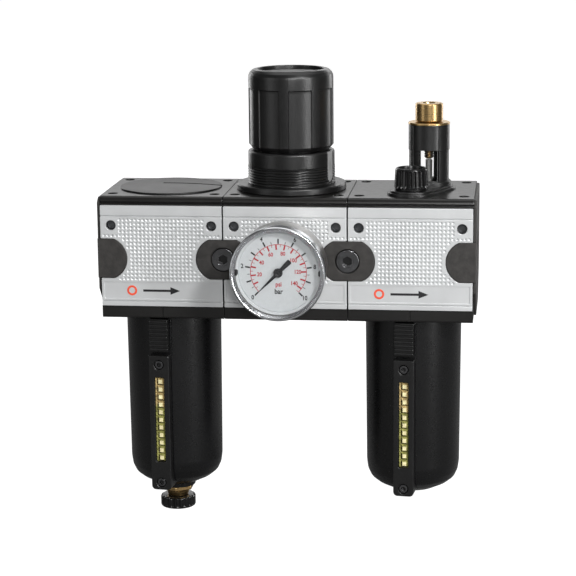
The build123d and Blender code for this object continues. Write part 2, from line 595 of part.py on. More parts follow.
def venturi():
    """Waisted insert that makes the pressure drop which lifts the oil."""
    face = make_face(Polyline((162, 0, 7.9), (176, 0, 7.9), (176, 0, 6.8), (170, 0, 4.6), (167, 0, 4.6), (162, 0, 6.8),
                              close=True))
    return revolve(face, Axis.X)


def teardrop(r_plug, r_dome, z0, z1):
    """Outline round the fill plug and the dome, joined by tangents."""
    dx, dy = DOME_X - PLUG_X, DOME_Y - PLUG_Y
    dist = math.hypot(dx, dy)
    base = math.atan2(dy, dx)
    tilt = math.acos((r_plug - r_dome) / dist)
    pts = []
    for sign in (1, -1):
        a = base + sign * tilt
        pair = [(PLUG_X + r_plug * math.cos(a), PLUG_Y + r_plug * math.sin(a)),
                (DOME_X + r_dome * math.cos(a), DOME_Y + r_dome * math.sin(a))]
        pts += pair if sign == 1 else pair[::-1]
    web = Pos(0, 0, z0) * extrude(make_face(Polyline(*pts, close=True)), z1 - z0)
    return web + rod_z(PLUG_X, PLUG_Y, r_plug, z0, z1) + rod_z(DOME_X, DOME_Y, r_dome, z0, z1)


def head_base():
    base = teardrop(13.5, 15.2, TOP, 36.4) + teardrop(12.0, 13.6, 36.4, HEAD_TOP)
    base -= rod_z(PLUG_X, PLUG_Y, 5.2, TOP - 1, HEAD_TOP + 1)
    base -= rod_z(DOME_X, DOME_Y, 1.5, TOP - 1, HEAD_TOP + 1)
    return base - rod_z(DOME_X, 14.0, 1.5, TOP - 1, HEAD_TOP - 1.0)


def dome_guard():
    """Cylindrical guard with a window at the front and at the rear."""
    guard = turned(DOME_X, DOME_Y, [(8.5, HEAD_TOP), (12.6, HEAD_TOP), (12.6, 39.6), (12.0, 40.2), (11.3, 40.4),
                                    (11.3, 57.4), (GUARD_R, 57.4), (GUARD_R, 72.0), (8.5, 72.0)])
    window = block(DOME_X - 5.1, DOME_X + 5.1, DOME_Y - 20, DOME_Y + 20, 40.2, 58.0)
    window = rounded(window, 0.8, lambda c: abs(abs(c.X - DOME_X) - 5.1) < 0.01 and c.Z > 57)
    return guard - window


def sight_dome():
    return turned(DOME_X, DOME_Y, [(3.4, 61.8), (8.4, 61.8), (8.4, HEAD_TOP), (6.9, HEAD_TOP), (6.9, 60.0), (3.4, 60.0)])


def drip_nozzle():
    nozzle = turned(DOME_X, DOME_Y, [(1.7, 52.5), (2.3, 52.5), (2.6, 54.0), (2.6, 60.0), (3.3, 60.0), (3.3, 61.9),
                                     (8.4, 61.9), (8.4, 72.0), (GUARD_R + 0.2, 72.0), (GUARD_R + 0.2, 72.9),
                                     (GUARD_R, 73.2), (3.1, 73.2), (3.1, 61.0), (1.7, 58.0)])
    return nozzle


def drip_tube():
    return ring_z(DOME_X, DOME_Y, 1.95, 1.2, HEAD_TOP, 52.0)


def drip_screw():
    """Knob and needle that set the drip rate."""
    screw = turned(DOME_X, DOME_Y, [(0, 59.6), (1.2, 61.5), (3.0, 62.5), (3.0, 74.0), (7.0, 74.0), (7.8, 74.6),
                                    (7.8, 83.0), (7.2, 83.9), (0, 83.9)])
    screw -= rod_z(DOME_X, DOME_Y, 3.2, 83.0, 85)
    return screw - block(DOME_X - 3.0, DOME_X + 3.0, DOME_Y - 0.5, DOME_Y + 0.5, 81.6, 84)


def fill_plug():
    plug = rod_z(PLUG_X, PLUG_Y, 9.3, 37.7, 38.5) + rod_z(PLUG_X, PLUG_Y, 8.9, 38.4, 39.0)
    knob = rod_z(PLUG_X, PLUG_Y, PLUG_R, 38.9, 50.0)
    knob = rounded(knob, 0.8, lambda c: abs(c.Z - 50.0) < 0.01)
    for i in range(24):
        a = math.radians(15 * i)
        knob -= rod_z(PLUG_X + 9.9 * math.cos(a), PLUG_Y + 9.9 * math.sin(a), 0.75, 39.6, 48.9)
    knob -= rod_z(PLUG_X, PLUG_Y, 7.4, 45.0, 51)
    return plug + knob + rod_z(PLUG_X, PLUG_Y, 5.0, 20.0, 38.0)


PARTS = {
    "filter_body": filter_body,
    "filter_top_cap": filter_top_cap,
    "filter_trim_plate": lambda: trim_plate("filter"),
    "filter_bowl": lambda: bowl(FILTER_X, True),
    "filter_bowl_seal": lambda: bowl_seal(FILTER_X),
    "filter_sight_glass": lambda: sight_glass(FILTER_X),
    "filter_sight_cover": lambda: sight_cover(FILTER_X),
    "filter_sight_screws": lambda: sight_screws(FILTER_X),
    "filter_latch": lambda: latch(FILTER_X),
    "filter_latch_spring": lambda: latch_spring(FILTER_X),
    "filter_element": filter_element,
    "filter_swirl_vane": swirl_vane,
    "filter_baffle_bolt": baffle_bolt,
    "drain_body": drain_body,
    "drain_knob": drain_knob,
    "regulator_body": regulator_body,
    "regulator_trim_plate": lambda: trim_plate("regulator"),
    "regulator_bonnet": bonnet,
    "adjusting_knob": adjusting_knob,
    "adjusting_knob_disc": knob_disc,
    "adjusting_spindle": spindle,
    "spring_plate": spring_plate,
    "main_spring": lambda: coil(REG_X, 0, 12.6, 1.7, 7.0, 22.0, 73.0),
    "pressure_piston": piston,
    "inlet_valve": valve,
    "valve_spring": lambda: coil(REG_X, 0, 6.2, 0.6, 2.6, -25.0, -10.0),
    "regulator_bottom_plug": bottom_plug,
    "gauge_port_plug": gauge_port_plug,
    "gauge_case": gauge_case,
    "gauge_bezel": gauge_bezel,
    "gauge_window": gauge_window,
    "gauge_dial": gauge_dial,
    "gauge_pointer": gauge_pointer,
    "gauge_movement": gauge_movement,
    "gauge_stem": gauge_stem,
    "lubricator_body": lubricator_body,
    "lubricator_trim_plate": lambda: trim_plate("lubricator"),
    "lubricator_bowl": lambda: bowl(LUB_X, False),
    "lubricator_bowl_seal": lambda: bowl_seal(LUB_X),
    "lubricator_sight_glass": lambda: sight_glass(LUB_X),
    "lubricator_sight_cover": lambda: sight_cover(LUB_X),
    "lubricator_sight_screws": lambda: sight_screws(LUB_X),
    "lubricator_latch": lambda: latch(LUB_X),
    "lubricator_latch_spring": lambda: latch_spring(LUB_X),
    "siphon_tube": siphon_tube,
    "venturi": venturi,
    "head_base": head_base,
    "dome_guard": dome_guard,
    "sight_dome": sight_dome,
    "drip_nozzle": drip_nozzle,
    "drip_tube": drip_tube,
    "drip_screw": drip_screw,
    "fill_plug": fill_plug,
    "end_cover_inlet": lambda: end_cover(0.0, -1),
    "end_cover_outlet": lambda: end_cover(210.0, 1),
    "joint_plates": joint_plates,
    "joint_screws": joint_screws,
    "joint_nuts": joint_nuts,
    "module_seals": module_seals,
    "hole_plugs": hole_plugs,
}

os.makedirs("parts", exist_ok=True)
for name, make in PARTS.items():
    part = make()
    part.label = name
    export_step(part, os.path.join("parts", name + ".step"))
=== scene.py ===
"""Looks of a three-module filter, regulator and lubricator unit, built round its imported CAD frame."""
import json
import math

import bmesh
import bpy
from mathutils import Matrix, Vector
from mathutils.geometry import delaunay_2d_cdt


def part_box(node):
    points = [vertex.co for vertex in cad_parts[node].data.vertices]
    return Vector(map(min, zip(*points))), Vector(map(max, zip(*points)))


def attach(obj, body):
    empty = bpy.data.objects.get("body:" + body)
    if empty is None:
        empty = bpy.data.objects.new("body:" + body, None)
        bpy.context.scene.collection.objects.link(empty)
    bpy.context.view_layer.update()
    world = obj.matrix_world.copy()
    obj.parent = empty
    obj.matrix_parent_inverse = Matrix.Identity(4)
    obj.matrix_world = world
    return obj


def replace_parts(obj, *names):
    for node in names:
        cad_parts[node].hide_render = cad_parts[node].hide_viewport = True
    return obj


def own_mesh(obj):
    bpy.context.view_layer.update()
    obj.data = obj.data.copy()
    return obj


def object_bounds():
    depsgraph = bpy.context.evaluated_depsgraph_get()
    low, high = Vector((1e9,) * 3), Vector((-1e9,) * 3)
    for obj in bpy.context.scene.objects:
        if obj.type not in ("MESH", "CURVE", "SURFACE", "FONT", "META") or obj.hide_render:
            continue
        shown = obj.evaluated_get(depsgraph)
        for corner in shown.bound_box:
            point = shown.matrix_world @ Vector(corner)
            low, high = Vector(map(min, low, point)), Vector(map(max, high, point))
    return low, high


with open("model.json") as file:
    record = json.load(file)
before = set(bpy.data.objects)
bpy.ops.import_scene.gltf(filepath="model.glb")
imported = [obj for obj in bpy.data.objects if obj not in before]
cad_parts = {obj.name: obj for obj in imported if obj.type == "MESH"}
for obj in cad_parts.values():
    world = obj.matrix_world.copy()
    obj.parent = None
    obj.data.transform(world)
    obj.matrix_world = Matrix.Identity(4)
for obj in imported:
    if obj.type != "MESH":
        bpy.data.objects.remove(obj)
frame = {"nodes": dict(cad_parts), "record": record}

cad_box = [list(corner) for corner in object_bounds()]
record = frame["record"]
BODY_OF = {n: body for body, members in record["behaviour"]["bodies"].items() for n in members}
SLOT_OF = {part["node"]: part["material_slot"] for part in record["subparts"]}
MM = 0.001


def box(node):
    """A CAD node's lowest and highest corners, in millimetres."""
    lo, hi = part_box(node)
    return lo / MM, hi / MM


# ---------------------------------------------------------------- sizes, in millimetres
MODULES = ("filter", "regulator", "lubricator")
CENTRE = {m: (box(m + "_trim_plate")[0].x + box(m + "_trim_plate")[1].x) / 2 for m in MODULES}
SPAN = {m: (box(m + "_body")[0].x, box(m + "_body")[1].x) for m in MODULES}
BODY_LO, BODY_HI = box("filter_body")
JOINTS = [(SPAN["filter"][1] + SPAN["regulator"][0]) / 2, (SPAN["regulator"][1] + SPAN["lubricator"][0]) / 2]
HALF_PITCH = (JOINTS[1] - JOINTS[0]) / 2
REAR = BODY_HI.y

TRIM_LO, TRIM_HI = box("filter_trim_plate")
TRIM_HALF_W = (TRIM_HI.x - TRIM_LO.x) / 2
TRIM_FACE, TRIM_BACK = TRIM_LO.y, TRIM_HI.y
PANEL_HALF_W, PANEL_LOW, PANEL_HIGH = 33.1, -23.45, -14.0
GROOVES, GROOVE_HALF, GROOVE_DEPTH, RELIEF = (-24.8, 23.9), 0.25, 0.8, 0.4
LEDGE_LOW, LEDGE_HIGH = 31.0, 31.8
DIMPLE_PITCH, DIMPLE_R, DIMPLE_DEPTH, DIMPLE_ROWS, DIMPLE_LOW = 2.25, 1.0, 0.72, 16, -12.1
HOLE_DX, HOLE_Z, HOLE_R, REAR_HOLE_R = 28.6, 18.6, 2.85, 2.65
POCKET_DX, POCKET_DY, POCKET_R, POCKET_DEPTH = 29.2, 25.0, 2.8, 4.0

CLAMP_LO, CLAMP_HI = box("joint_plates")
CLAMP_Z = (CLAMP_LO.z + CLAMP_HI.z) / 2
CLAMP_HALF_H = (CLAMP_HI.z - CLAMP_LO.z) / 2
CLAMP_HALF_W = JOINTS[0] - CLAMP_LO.x
CLAMP_R = 12.2
CLAMP_INNER = -32.5
CLAMP_HEAD_R, CLAMP_HEAD_SUNK, CLAMP_HEX = 6.6, 2.1, 5.0

BOWL_TURN = math.radians(-6.5)
BAR_LO_Z, BAR_HI_Z, BAR_HALF_W, BAR_FACE, BAR_BACK = -137.6, -57.6, 5.9, -33.0, -28.0
WINDOW_HALF_W, WINDOW_LOW, WINDOW_HIGH = 2.8, -120.8, -70.4
PRISM_HALF_W, PRISM_SPLIT, PRISM_FACE = 2.65, -1.65, -32.5
BAR_SCREWS = (-63.0, -133.2)
LATCH_LOW, LATCH_HIGH, LATCH_HALF_W = box("filter_latch")[0].z, box("filter_latch")[1].z, 5.4

PORT_R, PORT_DEPTH, PORT_PITCH = 9.32, 15.0, 1.814
BONNET_X, FLANGE_TOP, THREAD_TOP, RING_TOP = CENTRE["regulator"], 38.8, 48.5, 57.5
THREAD_R, RING_R, THREAD_PITCH = 25.0, 24.65, 1.5
KNOB_LO, KNOB_HI = box("adjusting_knob")
KNOB_R, KNOB_SHOULDER, PANEL_TOP, PANEL_DEPTH = 24.16, 98.7, 92.8, 0.7
GAUGE_Z, GAUGE_FACE, GAUGE_BACK = -1.0, box("gauge_bezel")[0].y, box("gauge_case")[1].y
DIAL_Y, DIAL_R, BEZEL_R = box("gauge_dial")[0].y, 21.7, 26.05
PLUG_X, PLUG_Y, DOME_X, DOME_Y, HEAD_TOP = 174.5, -18.0, 183.3, 3.0, box("head_base")[1].z
BORE_R, SPINDLE_R, KNOB_HEX = 17.6, 5.0, 8.2
KEY_R, KEY_LOW, KEY_ANGLE, KEY_GAP = 4.0, 43.8, math.radians(72), 0.15
COVER_T, COVER_HOLE_R = 1.5, 12.0
CAP_R, CAP_EDGE = 29.4, 35.9
STEM_HALF_W, PRINT_H, MARK_H = 7.0, 0.04, 0.06
BONNET, GAUGE, DOME = (BONNET_X, 0.0), (BONNET_X, GAUGE_Z), (DOME_X, DOME_Y)


# ---------------------------------------------------------------- outlines
def arc(cx, cy, r, start, end, steps=20):
    """Points on a circle between two angles in degrees."""
    turn = [math.radians(start + (end - start) * i / steps) for i in range(steps + 1)]
    return [(cx + r * math.cos(t), cy + r * math.sin(t)) for t in turn]


def circle(cx, cy, r, steps=48):
    return arc(cx, cy, r, 0, 360, steps)[:-1]


def hexagon(cx, cy, flats):
    return arc(cx, cy, flats / math.sqrt(3), 30, 390, 6)[:-1]


def rectangle(x0, x1, y0, y1, r=0.0):
    return soften([(x0, y0, r), (x1, y0, r), (x1, y1, r), (x0, y1, r)])


def soften(points, closed=True, steps=4):
    """Rounds every corner that carries a radius as its third value."""
    out, n = [], len(points)
    for i, point in enumerate(points):
        p = Vector(point[:2])
        radius = point[2] if len(point) > 2 else 0.0
        if radius <= 0 or (not closed and i in (0, n - 1)):
            out.append(tuple(p))
            continue
        a = Vector(points[i - 1][:2]) - p
        b = Vector(points[(i + 1) % n][:2]) - p
        half = a.angle(b) / 2
        reach = min(radius / math.tan(half), 0.96 * a.length, 0.96 * b.length)
        radius = reach * math.tan(half)
        centre = p + (a.normalized() + b.normalized()).normalized() * (radius / math.sin(half))
        v0 = p + a.normalized() * reach - centre
        v1 = p + b.normalized() * reach - centre
        start = math.atan2(v0.y, v0.x)
        sweep = (math.atan2(v1.y, v1.x) - start + math.pi) % (2 * math.pi) - math.pi
        for k in range(steps + 1):
            t = start + sweep * k / steps
            out.append((centre.x + radius * math.cos(t), centre.y + radius * math.sin(t)))
    return out


def inset(loop, d):
    """Moves a counter-clockwise loop inwards by d; a clockwise one, a hole, gets larger."""
    out, n = [], len(loop)
    for i in range(n):
        p = Vector(loop[i])
        a = (p - Vector(loop[i - 1])).normalized()
        b = (Vector(loop[(i + 1) % n]) - p).normalized()
        na, nb = Vector((-a.y, a.x)), Vector((-b.y, b.x))
        out.append(tuple(p + (na + nb) * (d / max(0.3, 1 + na.dot(nb)))))
    return out


def shifted(loop, dx, dy):
    return [(x + dx, y + dy) for x, y in loop]


def clamp_loop(grow=0.0):
    """A clamp's outline about its own centre: a circle stretched sideways, cut flat above and below."""
    r, h, dx = CLAMP_R + grow, CLAMP_HALF_H + grow, CLAMP_HALF_W - CLAMP_R
    a = math.degrees(math.asin(h / r))
    return arc(dx, 0, r, -a, a, 28) + arc(-dx, 0, r, 180 - a, 180 + a, 28)


def in_clamp(x, z, grow):
    dx = CLAMP_HALF_W - CLAMP_R
    return abs(z) < CLAMP_HALF_H + grow and math.hypot(max(0.0, abs(x) - dx), z) < CLAMP_R + grow


# ---------------------------------------------------------------- meshes
AXES = {"X": lambda a, b, h: (h, a, b), "Y": lambda a, b, h: (a, h, b), "Z": lambda a, b, h: (a, b, h)}


def linked(name, data):
    obj = bpy.data.objects.new(name, data)
    bpy.context.scene.collection.objects.link(obj)
    return obj


def to_object(name, bm, sharp=40.0):
    """A shaded object from a bmesh in millimetres."""
    bmesh.ops.remove_doubles(bm, verts=bm.verts, dist=1e-5)
    bmesh.ops.recalc_face_normals(bm, faces=bm.faces)
    bmesh.ops.scale(bm, vec=(MM, MM, MM), verts=bm.verts)
    mesh = bpy.data.meshes.new(name)
    bm.to_mesh(mesh)
    bm.free()
    return shade(linked(name, mesh), sharp)


def shade(obj, sharp=40.0):
    obj.data.shade_smooth()
    obj.data.set_sharp_from_angle(angle=math.radians(sharp))
    if "normals" not in obj.modifiers:
        normals = obj.modifiers.new("normals", "WEIGHTED_NORMAL")
        normals.keep_sharp = True
        normals.weight = 60
    return obj


def bridge(bm, rows, closed=True):
    """Quads between rows of vertices; a row of one vertex is a pole."""
    for low, high in zip(rows, rows[1:]):
        count = max(len(low), len(high))
        for i in range(count if closed else count - 1):
            j = (i + 1) % count
            if len(low) == 1:
                corners = (low[0], high[j], high[i])
            elif len(high) == 1:
                corners = (low[i], low[j], high[0])
            else:
                corners = (low[i], low[j], high[j], high[i])
            bm.faces.new(corners)


def fill(bm, loops, flat):
    """Covers the first loop of vertices, less the loops inside it."""
    if len(loops) == 1:
        bm.faces.new(loops[0])
        return
    verts = [v for loop in loops for v in loop]
    points = [Vector(p) for loop in flat for p in loop]
    faces, first = [], 0
    for k, loop in enumerate(loops):
        ring = list(range(first, first + len(loop)))
        faces.append(ring if k == 0 else ring[::-1])
        first += len(loop)
    out = delaunay_2d_cdt(points, [], faces, 1, 1e-6, True)
    for corners, sources in zip(out[2], out[5]):
        if list(sources) == [0]:
            bm.faces.new([verts[out[3][i][0]] for i in corners])


def slab(name, outline, face, back, axis="Y", bevel=0.3, back_bevel=None, holes=(), pockets=(), dimples=(),
        steps=3):
    """A flat piece from face to back with rounded edges.

    Holes go through it, and pockets are (loop, depth). Both are given counter-clockwise, as the outline is.
    Dimples are centres of shallow round hollows in the face."""
    bm = bmesh.new()
    place = AXES[axis]
    into = 1.0 if back > face else -1.0
    back_bevel = bevel if back_bevel is None else back_bevel

    def row(loop, h):
        return [bm.verts.new(place(a, b, h)) for a, b in loop]

    def edge(loop, mouth, size, way):
        """Rows of vertices round an edge, from the flat face to the wall."""
        if size <= 0:
            return [(row(loop, mouth), loop)]
        out = []
        for k in range(steps + 1):
            t = math.pi / 2 * k / steps
            moved = inset(loop, size * (1 - math.sin(t)))
            out.append((row(moved, mouth + way * size * (1 - math.cos(t))), moved))
        return out

    front, rear = [], []
    for loop in [outline] + [h[::-1] for h in holes]:
        near = edge(loop, face, bevel, into)
        far = edge(loop, back, back_bevel, -into)
        bridge(bm, [r for r, _ in near] + [r for r, _ in far[::-1]])
        front.append(near[0])
        rear.append(far[0])
    for loop, depth in pockets:
        near = edge(loop[::-1], face, min(bevel, 0.45 * depth), into)
        floor = row(loop[::-1], face + into * depth)
        bridge(bm, [r for r, _ in near] + [floor])
        bm.faces.new(floor)
        front.append(near[0])
    ball = (DIMPLE_R ** 2 + DIMPLE_DEPTH ** 2) / (2 * DIMPLE_DEPTH)
    for a, b in dimples:
        rows, rim = [], None
        for r in (DIMPLE_R, 0.78 * DIMPLE_R, 0.45 * DIMPLE_R):
            loop = circle(a, b, r, 10)[::-1]
            rim = rim or loop
            rows.append(row(loop, face + into * (math.sqrt(ball ** 2 - r ** 2) - ball + DIMPLE_DEPTH)))
        rows.append([bm.verts.new(place(a, b, face + into * DIMPLE_DEPTH))])
        bridge(bm, rows)
        front.append((rows[0], rim))
    fill(bm, [r for r, _ in front], [p for _, p in front])
    fill(bm, [r for r, _ in rear], [p for _, p in rear])
    return to_object(name, bm)


def lathe(name, profile, axis="Z", at=(0.0, 0.0), count=96, shape=None, step=None, angles=None, sharp=40.0,
        steps=4):
    """A turned piece. The profile gives (radius, height, corner radius); shape changes the radius by angle."""
    on_axis = profile[0][0] == 0 and profile[-1][0] == 0
    path = soften(profile, closed=not on_axis, steps=steps)
    if step:
        path = divided(path, step, closed=not on_axis)
    angles = angles or [2 * math.pi * i / count for i in range(count)]
    bm = bmesh.new()
    place = AXES[axis]
    rows = []
    for r, h in path:
        if r <= 1e-9:
            rows.append([bm.verts.new(place(at[0], at[1], h))])
            continue
        ring = []
        for t in angles:
            s = shape(r, h, t) if shape else r
            ring.append(bm.verts.new(place(at[0] + s * math.cos(t), at[1] + s * math.sin(t), h)))
        rows.append(ring)
    if not on_axis:
        rows.append(rows[0])
    bridge(bm, rows)
    return to_object(name, bm, sharp)


def divided(path, step, closed):
    """The path with points no further apart than step."""
    out = []
    pairs = list(zip(path, path[1:] + ([path[0]] if closed else [])))
    for p, q in pairs:
        parts = max(1, math.ceil(math.dist(p, q) / step))
        out += [(p[0] + (q[0] - p[0]) * i / parts, p[1] + (q[1] - p[1]) * i / parts) for i in range(parts)]
    return out if closed else out + [path[-1]]


def brick(name, x0, x1, y0, y1, z0, z1, bevel=0.2):
    return slab(name, rectangle(x0, x1, y0, y1, 1.3 * bevel), z1, z0, "Z", bevel)


def settle(obj):
    """Makes an object's modifiers part of its mesh."""
    graph = bpy.context.evaluated_depsgraph_get()
    graph.update()
    mesh = bpy.data.meshes.new_from_object(obj.evaluated_get(graph))
    obj.modifiers.clear()
    obj.data = mesh
    return obj


def cut(obj, cutters, sharp=40.0):
    """Takes the cutters out of an object."""
    obj.modifiers.clear()
    for cutter in cutters:
        cutter.modifiers.clear()
        hole = obj.modifiers.new("cut", "BOOLEAN")
        hole.operation = "DIFFERENCE"
        hole.solver = "EXACT"
        hole.object = cutter
    bpy.context.view_layer.update()
    settle(obj)
    for cutter in cutters:
        bpy.data.objects.remove(cutter)
    return shade(obj, sharp)


def moved(obj, matrix):
    """Moves the mesh itself; the matrix is in millimetres."""
    m = matrix.copy()
    m.translation = m.translation * MM
    obj.data.transform(m)
    if m.determinant() < 0:
        obj.data.flip_normals()
    return obj


def turned_at(x, y, angle):
    """Turns a piece about its own upright axis and sets it at x and y."""
    return Matrix.Translation((x, y, 0)) @ Matrix.Rotation(angle, 4, "Z")


def joined(name, objs, sharp=40.0):
    """One object from several, which are removed."""
    bm = bmesh.new()
    for o in objs:
        bm.from_mesh(o.data)
        bpy.data.objects.remove(o)
    mesh = bpy.data.meshes.new(name)
    bm.to_mesh(mesh)
    bm.free()
    return shade(linked(name, mesh), sharp)


def lettering(name, words):
    """Printed words on the dial: (text, x, z, height), centred, a hair above the dial's face."""
    parts = []
    for text, x, z, height in words:
        curve = bpy.data.curves.new(name, "FONT")
        curve.body = text
        curve.size = height * 1.38
        curve.align_x = "CENTER"
        curve.align_y = "CENTER"
        curve.extrude = PRINT_H / 2
        curve.offset = 0.028 * curve.size
        curve.resolution_u = 3
        source = linked(name, curve)
        bpy.context.view_layer.update()
        mesh = bpy.data.meshes.new_from_object(source.evaluated_get(bpy.context.evaluated_depsgraph_get()))
        bpy.data.objects.remove(source)
        mesh.transform(Matrix.Diagonal((0.86 * MM, MM, MM, 1.0)))
        mesh.transform(Matrix.Translation(Vector((x, DIAL_Y, z)) * MM) @ Matrix.Rotation(math.pi / 2, 4, "X"))
        parts.append(linked(name, mesh))
    return parts


# ---------------------------------------------------------------- materials
def put(node, **values):
    """Sets a node's sockets; a socket's name is written with underscores."""
    for key, value in values.items():
        node.inputs[key.replace("_", " ")].default_value = value


def surface(name, color, metallic=0.0, roughness=0.5, grain=(2.2, 0.25), mottle=(0.03, 0.12), spread=0.06,
        stretch=(1, 1, 1), wear=0.0, **sockets):
    """A procedural finish. Grain and mottle are (frequency per mm, amount); stretch sets the grain's direction."""
    mat = bpy.data.materials.new(name)
    mat.use_nodes = True
    nodes, links = mat.node_tree.nodes, mat.node_tree.links
    bsdf = nodes["Principled BSDF"]
    put(bsdf, Metallic=metallic, **sockets)
    coords = nodes.new("ShaderNodeTexCoord")
    mapping = nodes.new("ShaderNodeMapping")
    put(mapping, Scale=stretch)
    links.new(coords.outputs["Object"], mapping.inputs["Vector"])

    def noise(frequency, vector, detail=3.0):
        tex = nodes.new("ShaderNodeTexNoise")
        put(tex, Scale=frequency / MM, Detail=detail)
        links.new(vector, tex.inputs["Vector"])
        return tex.outputs["Fac"]

    ramp = nodes.new("ShaderNodeValToRGB")
    low, high = ramp.color_ramp.elements
    low.position, high.position = 0.3, 0.7
    low.color = [c * (1 - mottle[1]) for c in color[:3]] + [1]
    high.color = [min(1.0, c * (1 + mottle[1])) for c in color[:3]] + [1]
    links.new(noise(mottle[0], coords.outputs["Object"]), ramp.inputs["Fac"])
    tone = ramp.outputs["Color"]
    if wear:
        geometry = nodes.new("ShaderNodeNewGeometry")
        edge = nodes.new("ShaderNodeMapRange")
        put(edge, From_Min=0.53, From_Max=0.62, To_Max=wear)
        links.new(geometry.outputs["Pointiness"], edge.inputs["Value"])
        rub = nodes.new("ShaderNodeMix")
        rub.data_type = "RGBA"
        links.new(edge.outputs["Result"], rub.inputs["Factor"])
        links.new(tone, rub.inputs["A"])
        put(rub, B=[min(1.0, c * 2.5 + 0.05) for c in color[:3]] + [1])
        tone = rub.outputs["Result"]
    links.new(tone, bsdf.inputs["Base Color"])
    gloss = nodes.new("ShaderNodeMapRange")
    put(gloss, To_Min=max(0.02, roughness - spread), To_Max=roughness + spread)
    links.new(noise(grain[0] * 0.2, mapping.outputs["Vector"]), gloss.inputs["Value"])
    links.new(gloss.outputs["Result"], bsdf.inputs["Roughness"])
    bump = nodes.new("ShaderNodeBump")
    put(bump, Strength=grain[1], Distance=0.1 * MM)
    links.new(noise(grain[0], mapping.outputs["Vector"], 2.0), bump.inputs["Height"])
    links.new(bump.outputs["Normal"], bsdf.inputs["Normal"])
    return mat


def glass(name, tint, rim):
    """Thin clear plastic: almost invisible face on, mirror-like at a grazing angle."""
    mat = surface(name, tint, 1.0, 0.05, (0.05, 0.03), (0.02, 0.03), 0.02)
    nodes, links = mat.node_tree.nodes, mat.node_tree.links
    facing = nodes.new("ShaderNodeFresnel")
    put(facing, IOR=1.35)
    strength = nodes.new("ShaderNodeMapRange")
    put(strength, To_Min=0.015, To_Max=rim)
    links.new(facing.outputs["Fac"], strength.inputs["Value"])
    links.new(strength.outputs["Result"], nodes["Principled BSDF"].inputs["Alpha"])
    return mat


